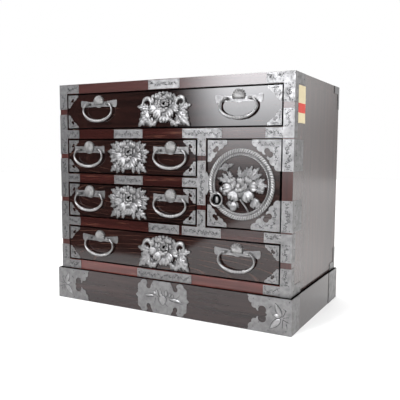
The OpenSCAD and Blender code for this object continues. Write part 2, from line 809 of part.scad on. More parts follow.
// A whole bail about its pivots: the bow, its two pins and the heads that keep them in the eyes
module bail() {
    head_x = pivot_x - eye_l / 2 - head_gap - head_l;
    pin_end = bail_end_x - bail_end_r + past;
    bail_bow();
    both_sides() {
        translate([head_x, 0, 0]) rotate([0, 90, 0]) cylinder(h = pin_end - head_x, r = pin_r);
        translate([head_x, 0, 0]) rotate([0, 90, 0]) cylinder(h = head_l, r = head_r);
    }
}

module drawer_bail(i, s) {
    color(BRIGHT_IRON)
        translate([mid_x(i) + s * handle_x(i), face_y - pivot_out, mid_z(i) + pivot_z]) bail();
}

// Lock plates

// A raised petal or leaf from the origin along +X: a thin outline under a ridge. Its rise is a share of the
// highest petals' rise.
module petal(l, w, rise, point = 0.5) {
    shoulder = 0.5 * w * (1 - 0.55 * point);
    hull() {
        linear_extrude(ornament_t)
            polygon([
                [0, 0], [0.18 * l, 0.36 * w], [0.5 * l, 0.5 * w], [0.82 * l, shoulder], [l, 0],
                [0.82 * l, -shoulder], [0.5 * l, -0.5 * w], [0.18 * l, -0.36 * w]
            ]);
        translate([0.52 * l, 0, 0])
            linear_extrude(ornament_t + rise * petal_rise)
                polygon([[0.22 * l, 0], [0, 0.2 * w], [-0.2 * l, 0], [0, -0.2 * w]]);
    }
}

// Petals set round the origin: how many, how far out, how long, how wide, how high and how turned
module flower(n, out, l, w, rise, turn) {
    for (k = [0:n - 1])
        rotate(turn + 360 * k / n) translate([out, 0, 0]) petal(l, w, rise, 0.1);
}

// Leaves placed by hand on the right half, mirrored to the left: x, y, direction, length, width, rise, point
module leaves(list) {
    for (f = list)
        both_sides() translate([f[0], f[1], 0]) rotate(f[2]) petal(f[3], f[4], f[5], f[6]);
}

// The half of a wide drawer's lock plate about its keyhole, drawn for this width and height
WIDE_SIZE = [174, 95];
WIDE_LEAVES = [
    [23, -13, 0, 21, 20, 0.85, 0.1],
    [40, -14, 2, 30, 18, 0.7, 0.6],
    [58, -14, 14, 30, 13, 0.55, 1],
    [38, -22, -42, 36, 24, 0.7, 0.6],
    [54, -34, -41, 40, 15, 0.55, 1],
    [44, -34, -86, 28, 20, 0.7, 0.5],
    [42, -46, -130, 18, 11, 0.55, 0.8],
    [4, -16, -62, 28, 22, 0.85, 0.2],
    [10, 9, 60, 22, 22, 0.7, 0.2],
    [18, 6, 2, 24, 18, 0.7, 0.3]
];

// The half of a small drawer's lock plate about its keyhole, drawn for this width and height
SMALL_SIZE = [145, 93];
SMALL_LEAVES = [
    [24, 8, 22, 44, 20, 0.55, 1],
    [28, 0, -2, 44, 20, 0.55, 1],
    [28, -12, -20, 44, 20, 0.55, 1],
    [26, -22, -42, 55, 22, 0.55, 1],
    [20, -28, -68, 28, 22, 0.55, 0.8],
    [4, -16, -62, 34, 24, 0.85, 0.2],
    [12, 4, 62, 27, 22, 0.7, 0.2],
    [22, -8, 0, 20, 18, 0.85, 0.1]
];

// Middle of the scroll on each side of a wide lock plate, and the radii of its foot, its top and its eye
SCROLL_AT = [54, 6, 0];
SCROLL_R = [17, 12, 8];

module wide_lock_shape() {
    leaves(WIDE_LEAVES);
    translate([0, -32, 0]) rotate(-90) petal(18, 30, 0.55, 0.6);
    both_sides() translate(SCROLL_AT) difference() {
        hull() {
            cylinder(h = ornament_t, r = SCROLL_R[0], $fn = 18);
            cylinder(h = ornament_t + 0.4 * petal_rise, r = SCROLL_R[1], $fn = 18);
        }
        translate([0, 0, -past]) cylinder(h = petal_rise + 2 * past, r = SCROLL_R[2], $fn = 16);
    }
}

module small_lock_shape() {
    leaves(SMALL_LEAVES);
    translate([0, -18, 0]) rotate(-90) petal(32, 26, 0.55, 0.1);
}

// A lock plate about its keyhole, facing the front, of the width and height given
module lock_plate(wide, w, h) {
    drawn = wide ? WIDE_SIZE : SMALL_SIZE;
    difference() {
        scale([w / drawn[0], h / drawn[1], 1]) {
            linear_extrude(ornament_t) circle(29, $fn = 24);
            if (wide) wide_lock_shape();
            else small_lock_shape();
            flower(7, 12, 20, 20, 0.85, 12);
            flower(5, 5, 16, 15, 1, 54);
        }
        translate([0, 0, -past]) linear_extrude(2 * petal_rise + ornament_t) keyhole_2d();
    }
}

module drawer_lock_plate(i) {
    w = open_w(i) * (is_wide(i) ? wide_lock_share : small_lock_share);
    h = open_h(i) * lock_h_share;
    color(BRIGHT_IRON) translate([mid_x(i), face_y, mid_z(i) + keyhole_z]) rotate([90, 0, 0])
        lock_plate(is_wide(i), w, h);
}

// A hollow lock case about its keyhole, against the plane y = 0, with a slot for its bolt on top.
// The keyhole is turned where the case lies on its side.
module lock_case(below, above, turn = 0) {
    slot_x = bolt_w / 2 + bolt_gap;
    slot_y = bolt_t / 2 + bolt_gap;
    w = case_w / 2;
    difference() {
        block([-w, 0, -below], [w, case_d, above]);
        block([case_wall - w, case_wall, case_wall - below],
            [w - case_wall, case_d - case_wall, above - case_lip]);
        block([-slot_x, case_d / 2 - slot_y, 0], [slot_x, case_d / 2 + slot_y, above + past]);
        translate([0, case_wall + past, 0]) rotate([90, 0, 0]) rotate(turn)
            linear_extrude(case_wall + 2 * past) keyhole_2d();
    }
}

// The bolt inside a lock case, drawn back until it is level with the case's end
module lock_bolt(above) {
    y = case_d / 2;
    block([-bolt_w / 2, y - bolt_t / 2, keyhole_r + bolt_key_gap], [bolt_w / 2, y + bolt_t / 2, above]);
}

module drawer_lock_case(i) {
    key_z = mid_z(i) + keyhole_z;
    color(DARK_IRON) translate([mid_x(i), tray_y, key_z])
        lock_case(case_below, OPENINGS[i][3] - seam - key_z);
}

module drawer_lock_bolt(i) {
    key_z = mid_z(i) + keyhole_z;
    color(BRIGHT_IRON) translate([mid_x(i), tray_y, key_z]) lock_bolt(OPENINGS[i][3] - seam - key_z);
}

// Door

module door_panel() {
    color(LACQUER) difference() {
        bevelled_front(door_x0, door_x1, door_z0, door_z1, face_y);
        keyhole_cut(door_key, band_z);
    }
}

module door_corner_plates() {
    edge = front_bevel;
    color(IRON) on_front(face_y, plate_t)
        for (sz = [0, 1])
            translate([door_x0 + edge, sz == 0 ? door_z0 + edge : door_z1 - edge])
                mirror([0, sz]) corner_2d(door_corner_s);
}

// The two hinges' stretches along their axis: bottom and top of each
HINGES = [[door_z0 + 1, door_z0 + 1 + hinge_h], [door_z1 - 1 - hinge_h, door_z1 - 1]];

// A knuckle of a hinge between two heights
module knuckle(z0, z1) {
    translate([hinge_x, hinge_y, z0]) cylinder(h = z1 - z0, r = knuckle_r);
}

// The middle knuckle of a hinge and the strip that joins it to the leaf on the door
module door_knuckle(z0, z1) {
    knuckle(z0, z1);
    block([door_x1 - past, hinge_y, z0], [hinge_x, face_y, z1]);
}

module hinge_door_leaves() {
    color(IRON) for (k = [0, 1]) {
        z0 = HINGES[k][0];
        z1 = HINGES[k][1];
        third = hinge_h / 3;
        difference() {
            union() {
                on_front(face_y, plate_t) translate([door_x1, k == 0 ? z0 : z1])
                    mirror([1, 0]) mirror([0, k]) corner_2d(hinge_h);
                door_knuckle(z0 + third + knuckle_gap, z1 - third - knuckle_gap);
            }
            translate([hinge_x, hinge_y, z0 - past])
                cylinder(h = hinge_h + 2 * past, r = hinge_pin_r + pin_gap);
        }
    }
}

module hinge_frame_leaves() {
    color(IRON) for (k = [0, 1]) {
        z0 = HINGES[k][0];
        z1 = HINGES[k][1];
        third = hinge_h / 3;
        on_front(front_y, plate_t) rect(inner_x, z0, half_w + plate_t, z1);
        on_side(half_w, plate_t) rect(front_y - plate_t, z0, front_y + hinge_wrap_d, z1);
        for (z = [[z0, z0 + third], [z1 - third, z1]]) {
            knuckle(z[0], z[1]);
            block([hinge_x, hinge_y - plate_t / 2, z[0]], [inner_x + past, hinge_y + plate_t / 2, z[1]]);
        }
        translate([hinge_x, hinge_y, z0]) cylinder(h = z1 - z0, r = hinge_pin_r);
    }
}

module door_band() {
    mid = band_r - band_w / 2;
    color(BRIGHT_IRON) translate([band_x, face_y, band_z]) rotate([90, 0, 0]) rotate_extrude($fn = 96)
        translate([mid, 0]) intersection() {
            union() {
                translate([0, band_rise - band_w * 0.42]) circle(band_w * 0.42);
                for (s = [-1, 1])
                    translate([s * (band_w / 2 - 1.5), 1]) circle(1.5);
                translate([-band_w / 2, 0]) square([band_w, 1.2]);
            }
            translate([-band_w / 2, 0]) square([band_w, band_rise]);
        }
}

// The flowers and leaves inside the band, drawn for this outer radius of the band: x, y, direction, length,
// width, rise, point
DOOR_R = 92;
DOOR_LEAVES = [
    [-26, 4, 176, 23, 26, 1, 0.1],
    [-18, 12, 140, 26, 22, 0.85, 0.1],
    [0, 14, 100, 22, 24, 0.85, 0.1],
    [12, 14, 50, 24, 24, 0.85, 0.1],
    [20, 4, 5, 28, 28, 1, 0.1],
    [12, -8, -42, 34, 32, 1, 0.1],
    [-12, -10, 228, 34, 32, 1, 0.1],
    [-40, 16, 150, 30, 14, 0.55, 1],
    [-38, -14, 205, 20, 14, 0.55, 0.8],
    [-2, 26, 88, 30, 11, 0.55, 1],
    [24, 24, 48, 40, 22, 0.7, 1],
    [34, 16, 12, 32, 14, 0.55, 1],
    [36, 4, 2, 37, 20, 0.7, 1],
    [-14, -34, 250, 32, 24, 0.85, 0.2],
    [30, -28, -50, 32, 24, 0.85, 0.2],
    [-26, 26, 118, 24, 12, 0.55, 0.8],
    [-32, 43, 135, 20, 20, 0.85, 0.3]
];

module door_peony() {
    k = band_r / DOOR_R;
    color(BRIGHT_IRON) translate([band_x, face_y, band_z]) rotate([90, 0, 0]) scale([k, k, 1]) {
        linear_extrude(ornament_t) circle(34, $fn = 24);
        for (f = DOOR_LEAVES)
            translate([f[0], f[1], 0]) rotate(f[2]) petal(f[3], f[4], f[5], f[6]);
        translate([-3, 2, 0]) flower(6, 3, 19, 15, 1.25, 20);
        stem([0, -30], [25, -66], 3);
        stem([-20, 24], [-36, 48], 2);
    }
}

// A straight stem of the radius given, a little thinner at its far end
module stem(from, to, r) {
    hull() {
        translate(from) cylinder(h = 0.5 * petal_rise, r = r, $fn = 8);
        translate(to) cylinder(h = 0.5 * petal_rise, r = 0.8 * r, $fn = 8);
    }
}

// The leaf-shaped plate that runs from the band to the partition and covers the seam beside the lock
module overlap_plate() {
    cover_y = front_y - plate_t - cover_gap;
    on_front(cover_y, plate_t) overlap_2d();
    on_front(face_y, face_y - cover_y) intersection() {
        overlap_2d();
        rect(door_x0 + front_bevel, band_z - cover_h, band_x, band_z + cover_h);
    }
}

// The flat shape of that plate, shaped round the band
module overlap_2d() {
    x0 = part_x1 - cover_over;
    h = cover_h / 2;
    difference() {
        translate([0, band_z]) polygon([
            [x0, 0.7 * h], [x0 + 5, h], [band_x - band_r, 0.6 * h], [band_x, 0.6 * h],
            [band_x, -0.6 * h], [band_x - band_r, -0.6 * h], [x0 + 5, -h], [x0, -0.7 * h]
        ]);
        translate([band_x, band_z]) circle(band_r + apart, $fn = 96);
    }
}

// The staple that the pull ring hangs from
module pull_staple() {
    bore_r = pull_wire + pull_gap;
    post_r = 0.4 * pull_l;
    translate([pull_x, face_y, pull_z]) difference() {
        union() {
            rotate([90, 0, 0]) cylinder(h = pull_out, r = post_r);
            rotate([90, 0, 0]) cylinder(h = foot_t, r = post_r + foot_w);
            translate([-pull_l / 2, -pull_out, 0]) rotate([0, 90, 0])
                cylinder(h = pull_l, r = bore_r + eye_wall);
        }
        translate([-pull_l, -pull_out, 0]) rotate([0, 90, 0]) cylinder(h = 2 * pull_l, r = bore_r);
    }
}

module door_lock() {
    color(DARK_IRON) {
        overlap_plate();
        pull_staple();
        translate([door_key, tray_y, band_z]) rotate([0, -90, 0])
            lock_case(case_below, door_key - door_x0, -90);
    }
}

module door_bolt() {
    color(BRIGHT_IRON) translate([door_key, tray_y, band_z]) rotate([0, -90, 0])
        lock_bolt(door_key - door_x0);
}

module door_pull_ring() {
    color(BRIGHT_IRON) translate([pull_x, face_y - pull_out, pull_z - pull_r])
        rotate([90, 0, 0]) rotate_extrude() translate([pull_r, 0]) circle(pull_wire, $fn = 24);
}

top_board();
bottom_board();
left_side();
right_side();
back_panel();
upper_rail();
middle_rail();
lower_rail();
centre_partition();
dust_panels();
plinth_frame();
column_plates();
rail_plates();
rear_corner_plates();
plinth_plates();
hinge_frame_leaves();
door_panel();
door_corner_plates();
hinge_door_leaves();
door_band();
door_peony();
door_lock();
door_bolt();
door_pull_ring();
for (i = [0:len(DRAWERS) - 1]) {
    drawer_front(i);
    drawer_tray(i);
    drawer_corner_plates(i);
    drawer_handle_plates(i);
    drawer_lock_plate(i);
    drawer_lock_case(i);
    drawer_lock_bolt(i);
    drawer_bail(i, -1);
    drawer_bail(i, 1);
}
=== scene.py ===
"""Dresses the tansu chest's solids for a studio picture: lacquer, grain, chased iron, peony locks and bails."""

import json
import logging
import math
import random
from dataclasses import dataclass, field, replace
from enum import Enum
from typing import Callable, NamedTuple, Optional, Sequence

import bmesh
import bpy
from bmesh.types import BMesh, BMVert
from bpy.types import Material, Mesh, Node, NodeSocket, NodeTree, Object
from mathutils import Matrix, Vector


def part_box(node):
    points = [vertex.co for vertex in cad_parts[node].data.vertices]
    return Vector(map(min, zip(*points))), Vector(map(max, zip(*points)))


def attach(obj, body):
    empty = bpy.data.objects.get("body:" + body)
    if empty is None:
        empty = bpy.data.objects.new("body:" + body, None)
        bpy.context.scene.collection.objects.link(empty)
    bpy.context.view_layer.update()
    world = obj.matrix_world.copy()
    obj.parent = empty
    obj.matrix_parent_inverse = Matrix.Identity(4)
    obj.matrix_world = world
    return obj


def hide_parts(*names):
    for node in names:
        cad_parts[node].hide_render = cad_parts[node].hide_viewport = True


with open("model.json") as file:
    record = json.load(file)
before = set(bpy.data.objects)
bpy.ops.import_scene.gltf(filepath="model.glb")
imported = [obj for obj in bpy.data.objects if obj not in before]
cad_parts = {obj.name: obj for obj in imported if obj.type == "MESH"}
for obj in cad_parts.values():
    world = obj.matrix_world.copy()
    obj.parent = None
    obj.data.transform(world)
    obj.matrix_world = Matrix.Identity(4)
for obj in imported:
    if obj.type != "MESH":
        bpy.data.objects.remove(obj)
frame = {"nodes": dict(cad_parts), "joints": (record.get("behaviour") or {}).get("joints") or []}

LOG = logging.getLogger("tansu")
MM = 0.001
# The distance below which points are merged: in metres, in millimetres and on a form of unit size
MERGE_M = 1e-6
MERGE_MM = 1e-4
MERGE_UNIT = 1e-5
SEED = 7
DRAWERS = ("top_drawer", "upper_drawer", "lower_drawer", "bottom_drawer")
WIDE_DRAWERS = ("top_drawer", "bottom_drawer")
# The height of one hinge's plate as a share of both hinges' reach, and the thickness of the plates in metres
HINGE_SHARE = 79 / 231
PLATE_T = 0.0012
Pair = tuple[float, float]
Triple = tuple[float, float, float]
Colour = Triple
Shaper = Callable[[float, float], Triple]


# Places and meshes


class Facing(Enum):
    """The side of the chest that a plate's own X, Y and outward axes are laid on."""

    FRONT = ((1, 0, 0), (0, 0, -1), (0, 1, 0))
    RIGHT = ((0, 0, 1), (1, 0, 0), (0, 1, 0))
    LEFT = ((0, 0, -1), (-1, 0, 0), (0, 1, 0))

    def at(self, origin: Vector) -> Matrix:
        """Gives the matrix that lays a plate on this side.

        Args:
            origin: Where the plate's own origin goes, in metres.

        Returns:
            The plate's matrix, still in metres.
        """
        return Matrix.Translation(origin) @ Matrix(self.value).to_4x4()


def middle(node: str) -> Vector:
    """Gives the middle of a solid's box in metres."""
    low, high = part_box(node)
    return (low + high) / 2


def front_of(node: str) -> float:
    """Gives the depth of a solid's front in metres."""
    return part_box(node)[0].y


def joint_place(name: str) -> Vector:
    """Gives the place of a joint's axis in metres."""
    return Vector(next(j["pos_m"] for j in frame["joints"] if j["name"] == name))


def add_mesh(bm: BMesh, mesh: Mesh, matrix: Matrix) -> list[BMVert]:
    """Adds a copy of a mesh to another at a place.

    Args:
        bm: The mesh under construction.
        mesh: The mesh to copy.
        matrix: Where the copy goes.

    Returns:
        The new vertices.
    """
    before = len(bm.verts)
    bm.from_mesh(mesh)
    bm.verts.ensure_lookup_table()
    verts = bm.verts[before:]
    bmesh.ops.transform(bm, matrix=matrix, verts=verts)
    return verts


def as_mesh(bm: BMesh, name: str) -> Mesh:
    """Turns a finished bmesh into a mesh with outward faces and frees it.

    Args:
        bm: The finished bmesh.
        name: The mesh's name.

    Returns:
        The mesh.
    """
    bmesh.ops.recalc_face_normals(bm, faces=bm.faces)
    mesh = bpy.data.meshes.new(name)
    bm.to_mesh(mesh)
    bm.free()
    return mesh


def stamp(bm: BMesh, part: BMesh, *places: Matrix) -> None:
    """Adds a finished part at one or more places and frees it.

    Args:
        bm: The mesh under construction.
        part: The finished part.
        places: The matrix of each copy.
    """
    mesh = as_mesh(part, "part")
    for place in places:
        add_mesh(bm, mesh, place)
    bpy.data.meshes.remove(mesh)


def place_piece(name: str, bm: BMesh, material: Material, body: str,
                stands_for: Sequence[str] = (), smooth: bool = True,
                second: Optional[Material] = None) -> Object:
    """Makes a finished piece of the chest from a bmesh in metres.

    Args:
        name: The piece's name.
        bm: Its mesh, already in place.
        material: Its finish.
        body: The body that it moves with.
        stands_for: The solids that it takes the place of.
        smooth: Whether its faces are shaded smooth.
        second: The finish of the faces that are marked for it.

    Returns:
        The piece.
    """
    mesh = as_mesh(bm, name)
    mesh.materials.append(material)
    if second:
        mesh.materials.append(second)
    mesh.polygons.foreach_set("use_smooth", [smooth] * len(mesh.polygons))
    piece = bpy.data.objects.new(name, mesh)
    bpy.context.scene.collection.objects.link(piece)
    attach(piece, body)
    if stands_for:
        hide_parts(*stands_for)
    LOG.info("%s: %d faces on %s", name, len(mesh.polygons), body)
    return piece


@dataclass(frozen=True)
class Station:
    """One ring of a swept form: its middle, its two radii and the directions that they run in."""

    centre: Vector
    across: Vector
    out: Vector
    half_w: float
    half_h: float


def sweep(bm: BMesh, stations: Sequence[Station], sides: int) -> None:
    """Draws a closed rod through a row of stations.

    Args:
        bm: The mesh under construction.
        stations: The rings, from one end to the other.
        sides: The number of corners of a ring.
    """
    ring = bmesh.ops.create_circle(bm, cap_ends=True, radius=1.0, segments=sides)["verts"]
    unit = [(v.co.x, v.co.y) for v in ring]
    for step, station in enumerate(stations):
        if step:
            edges = {e for v in ring for e in v.link_edges if all(w in ring for w in e.verts)}
            new = bmesh.ops.extrude_edge_only(bm, edges=list(edges))["geom"]
            fresh = {v for v in new if isinstance(v, BMVert)}
            ring = [next(e.other_vert(v) for e in v.link_edges if e.other_vert(v) in fresh) for v in ring]
        for vert, (a, b) in zip(ring, unit):
            vert.co = station.centre + station.across * (a * station.half_w) + station.out * (b * station.half_h)
    bmesh.ops.contextual_create(bm, geom=[e for e in bm.edges if e.is_boundary])


def flat_rod(bm: BMesh, points: Sequence[Pair], width: Callable[[float], float],
             height: float, sides: int) -> None:
    """Draws a low rod along a flat curve, half of it below the plane that it lies on.

    Args:
        bm: The mesh under construction.
        points: The curve's points in its own plane.
        width: The rod's width at a share of its length.
        height: How far it rises above its plane.
        sides: The number of corners of its section.
    """
    places = [Vector((x, y, 0)) for x, y in points]
    last = len(places) - 1
    stations = []
    for k, place in enumerate(places):
        along = (places[min(k + 1, last)] - places[max(k - 1, 0)]).normalized()
        stations.append(Station(place, Vector((-along.y, along.x, 0)), Vector((0, 0, 1)),
                                width(k / last) / 2, height))
    sweep(bm, stations, sides)


def shaped_sheet(long: int, across: int, shape: Shaper, edged: bool = False) -> BMesh:
    """Builds a closed low relief from a grid.

    Args:
        long: The number of faces along it.
        across: The number of faces across it.
        shape: Gives a point's place from its shares of the length, 0 to 1, and of the half width, -1 to 1.
        edged: Whether its outermost faces are marked for a second finish, the dark of painted shade between petals.

    Returns:
        The relief, closed by a skirt and a flat back at height 0.
    """
    bm = bmesh.new()
    bmesh.ops.create_grid(bm, x_segments=long, y_segments=across, size=1.0)
    for vert in bm.verts:
        vert.co = shape((vert.co.x + 1) / 2, vert.co.y)
    rim = [e for e in bm.edges if e.is_boundary]
    # The outermost faces take the dark finish of painted shade between overlapping petals.
    for face in {f for e in rim for f in e.link_faces} if edged else ():
        face.material_index = 1
    skirt = bmesh.ops.extrude_edge_only(bm, edges=rim)["geom"]
    for vert in (v for v in skirt if isinstance(v, BMVert)):
        vert.co.z = 0
    bmesh.ops.remove_doubles(bm, verts=bm.verts, dist=MERGE_UNIT)
    bmesh.ops.holes_fill(bm, edges=[e for e in bm.edges if e.is_boundary], sides=0)
    return bm


def shaped_disc(rings: int, steps: int, shape: Shaper, foot: float) -> BMesh:
    """Builds a closed low dome from rings about a middle.

    Args:
        rings: The number of rings.
        steps: The number of faces round a ring.
        shape: Gives a point's place from its share of the radius and its angle.
        foot: The height of the flat back.

    Returns:
        The dome.
    """
    bm = bmesh.new()
    bmesh.ops.create_grid(bm, x_segments=rings, y_segments=steps, size=1.0)
    for vert in bm.verts:
        vert.co = shape((vert.co.x + 1) / 2, vert.co.y * math.pi)
    bmesh.ops.remove_doubles(bm, verts=bm.verts, dist=MERGE_MM)
    skirt = bmesh.ops.extrude_edge_only(bm, edges=[e for e in bm.edges if e.is_boundary])["geom"]
    for vert in (v for v in skirt if isinstance(v, BMVert)):
        vert.co.z = foot
    bmesh.ops.contextual_create(bm, geom=[e for e in bm.edges if e.is_boundary])
    return bm


# Petals and leaves


class Form(Enum):
    """The kinds of petal and leaf that the reliefs are made of."""

    BALL = "ball"
    CUP = "cup"
    FRILL = "frill"
    LEAF = "leaf"
    BLADE = "blade"


@dataclass(frozen=True)
class Relief:
    """A petal or leaf of unit length, width and rise.

    Attributes:
        long: The number of faces along it.
        across: The number of faces across it.
        widest: The power of the length's share; above 1, the form is widest towards its tip.
        blunt: The power of its outline; the lower it is, the blunter the ends.
        crown: The power of its cross section; the higher it is, the flatter the back.
        rim: The height of its edge.
        tip_lobes: The number of half waves across its tip.
        lobe_depth: The depth of those waves.
        teeth: The number of teeth and veins along each edge.
        tooth_depth: The depth of a tooth as a share of the half width.
        groove_depth: The depth of its lengthways grooves at the tip.
        flutes: The number of grooves on each half.
        rib_depth: The depth of its middle line and of its veins.
        slope: How far its foot lies below its tip.
        centred: Whether it lies about its own middle, or else springs from a point.
        edged: Whether its outermost faces are marked for a second finish, the dark of painted shade between petals.
        shoulder: The power that rounds its cross section.
        ends: The power that moves its highest point along it.
        rib_w: The half width of its middle line.
        vein_lean: How far its veins run on to the tip at the edges.
        slope_power: The power of the slope along it.
    """

    long: int
    across: int
    widest: float
    blunt: float
    crown: float
    rim: float
    tip_lobes: int = 1
    lobe_depth: float = 0.0
    teeth: int = 0
    tooth_depth: float = 0.0
    groove_depth: float = 0.0
    flutes: float = 1.0
    rib_depth: float = 0.0
    slope: float = 0.0
    centred: bool = False
    edged: bool = False
    shoulder: float = 0.6
    ends: float = 0.9
    rib_w: float = 0.16
    vein_lean: float = 1.4
    slope_power: float = 1.3

    def shape(self, t: float, v: float) -> Triple:
        """Gives the place of one point of the relief.

        Args:
            t: Its share of the length.
            v: Its share of the half width, from -1 to 1.

        Returns:
            The point on the unit relief.
        """
        swell = max(0.0, math.sin(math.pi * t ** self.widest)) ** self.blunt
        saw = (self.teeth * t) % 1.0 if self.teeth else 0.0
        half = 0.5 * swell * (1 + self.tooth_depth * (saw - 0.5))
        x = t + self.lobe_depth * t * t * math.cos(self.tip_lobes * math.pi * v)
        dome = (1 - abs(v) ** self.crown) ** self.shoulder * max(0.0, math.sin(math.pi * t ** self.ends)) ** 0.5
        grooves = 1 - self.groove_depth * (0.5 - 0.5 * math.cos(2 * math.pi * self.flutes * v)) * t
        wave = 0.5 + 0.5 * math.cos(2 * math.pi * (self.teeth * t - self.vein_lean * abs(v)))
        veins = 1 - self.rib_depth * wave
        rib = 1 - self.rib_depth * math.exp(-((v / self.rib_w) ** 2))
        hollow = 1 - self.slope * (1 - t) ** self.slope_power
        z = self.rim + (1 - self.rim) * dome * grooves * veins * rib * hollow
        return (x - (0.5 if self.centred else 0.0), v * half, z)

    def mesh(self, name: str) -> Mesh:
        """Builds the unit relief as a mesh with the name given."""
        return as_mesh(shaped_sheet(self.long, self.across, self.shape, self.edged), name)


RELIEFS = {
    Form.BALL: Relief(12, 12, widest=0.9, blunt=0.55, crown=2.6, rim=0.3, tip_lobes=3, lobe_depth=0.03,
                      groove_depth=0.16, flutes=2.0, centred=True),
    Form.CUP: Relief(16, 26, widest=1.5, blunt=0.36, crown=4.0, rim=0.42, tip_lobes=3, lobe_depth=0.1,
                     groove_depth=0.42, flutes=1.5, slope=0.75, centred=True, edged=True),
    Form.FRILL: Relief(10, 18, widest=0.95, blunt=0.6, crown=3.0, rim=0.4, tip_lobes=3, lobe_depth=0.1,
                       groove_depth=0.5, flutes=1.5, slope=0.5, centred=True, edged=True),
    Form.LEAF: Relief(20, 10, widest=0.72, blunt=0.8, crown=1.6, rim=0.42, teeth=4, tooth_depth=0.7, rib_depth=0.5),
    Form.BLADE: Relief(16, 8, widest=0.8, blunt=0.8, crown=1.8, rim=0.1, rib_depth=0.3),
}


@dataclass(frozen=True)
class Petal:
    """One petal or leaf on a plate, in millimetres from the plate's own middle, which one side may mirror."""

    form: Form
    x: float
    y: float
    turn: float
    length: float
    width: float
    rise: float
    bend: float = 0.0
    mirrored: bool = False


@dataclass(frozen=True)
class Spray:
    """A cluster of petals and leaves that stands on one plate."""

    petals: Sequence[Petal]

    def draw(self, bm: BMesh, place: Matrix) -> None:
        """Draws the cluster.

        Args:
            bm: The mesh under construction, in metres.
            place: The plate's matrix.
        """
        scaled = place @ Matrix.Scale(MM, 4)
        for petal in self.petals:
            unit = bpy.data.meshes.get(petal.form.value) or RELIEFS[petal.form].mesh(petal.form.value)
            size = Matrix.Diagonal((petal.length, petal.width, petal.rise, 1))
            spot = Matrix.Translation((petal.x, petal.y, 0)) @ Matrix.Rotation(math.radians(petal.turn), 4, "Z")
            for side in (1, -1) if petal.mirrored else (1,):
                verts = add_mesh(bm, unit, size)
                for vert in verts:
                    vert.co.y += petal.bend * (vert.co.x / petal.length) ** 2
                bmesh.ops.transform(bm, matrix=scaled @ Matrix.Diagonal((side, 1, 1, 1)) @ spot, verts=verts)


def one(form: Form, *sizes: float) -> Petal:
    """Gives a petal or leaf that stands alone on its plate."""
    return Petal(form, *sizes)


def pair(form: Form, *sizes: float) -> Petal:
    """Gives a petal or leaf that stands on both halves of its plate."""
    return replace(Petal(form, *sizes), mirrored=True)


BALL, CUP, FRILL, LEAF, BLADE = Form

KEY_PETALS = (
    one(FRILL, -3, 13.5, 90, 8, 22, 7.2), one(FRILL, -13, 5, 160, 10, 13, 7.8), one(FRILL, -23, 4, 172, 11, 15, 7.0),
    one(FRILL, 14, 7, 20, 8, 12, 7.4), one(FRILL, 13.5, -2.5, -15, 9, 11, 7.8), one(FRILL, 23, 3, 4, 11, 15, 7.0),
    one(FRILL, -12, -6, 205, 8, 10, 7.6), one(FRILL, -8, -14, -100, 9, 15, 8.0), one(FRILL, 8, -14, -78, 9, 17, 8.0),
)

WIDE_PETALS = (
    pair(BALL, 28, -10, 0, 30, 44, 3.2), one(BALL, 0, -28, 0, 50, 36, 3.2), one(BALL, 0, 14, 0, 72, 22, 3.2),
    pair(BALL, 45, -20, -8, 34, 20, 3.2), pair(BALL, 60, -28, -36, 46, 28, 3.0),
    pair(BALL, 48, -48, -30, 34, 24, 3.0), pair(LEAF, 46, -12, 6, 42, 23, 6.6, 2),
    pair(LEAF, 48, -20, -8, 30, 20, 6.0, -2), pair(LEAF, 46, -26, -40, 52, 30, 7.4, -3),
    pair(LEAF, 50, -30, -54, 32, 22, 6.4, -2), pair(FRILL, 51, -49, -48, 18, 18, 6.4),
    pair(FRILL, 41, -55, -76, 18, 18, 6.8), pair(FRILL, 30, -53, -104, 18, 17, 6.6),
    pair(FRILL, 23, -45, -120, 13, 17, 6.2), one(FRILL, 0, 29, 90, 9, 13, 6.0), pair(FRILL, 12, 28, 76, 9, 13, 5.6),
    pair(FRILL, 23, 25, 62, 9, 12, 5.4), pair(FRILL, 34, 20, 60, 10, 14, 5.8), pair(CUP, 16, 19, 76, 14, 27, 7.4),
    pair(CUP, 37, 9, 20, 17, 20, 7.0), pair(CUP, 36, -13, -10, 28, 24, 7.6), pair(CUP, 19, -27, -60, 29, 30, 8.8),
    one(CUP, 0, -41, -90, 22, 38, 6.6), one(FRILL, 0, -19, -90, 12, 22, 7.6), *KEY_PETALS,
)

SMALL_PETALS = (
    pair(BALL, 32, -8, 0, 48, 54, 3.2), one(BALL, 0, -28, 0, 56, 36, 3.2), one(BALL, 0, 18, 0, 70, 22, 3.2),
    pair(LEAF, 28, 14, 46, 24, 15, 5.0), pair(LEAF, 36, 10, 24, 29, 18, 5.6, 1), pair(LEAF, 42, -1, 4, 31, 20, 5.8),
    pair(LEAF, 44, -11, -10, 23, 17, 5.4), pair(LEAF, 43, -20, -22, 23, 16, 5.2),
    pair(LEAF, 32, -30, -42, 42, 22, 6.0), pair(LEAF, 30, -38, -66, 27, 17, 5.6),
    pair(LEAF, 19, -41, -92, 21, 16, 5.2), one(FRILL, 0, 31, 90, 9, 13, 6.0), pair(FRILL, 12, 29, 76, 9, 13, 5.6),
    pair(FRILL, 23, 25, 60, 9, 13, 5.4), pair(CUP, 16, 20, 76, 15, 27, 7.2), pair(CUP, 34, 9, 24, 17, 21, 6.8),
    pair(CUP, 35, -12, -12, 29, 24, 7.6), pair(CUP, 20, -27, -54, 31, 32, 8.6), one(CUP, 0, -40, -90, 20, 34, 6.6),
    one(FRILL, 0, -20, -90, 13, 22, 7.6), *KEY_PETALS,
)

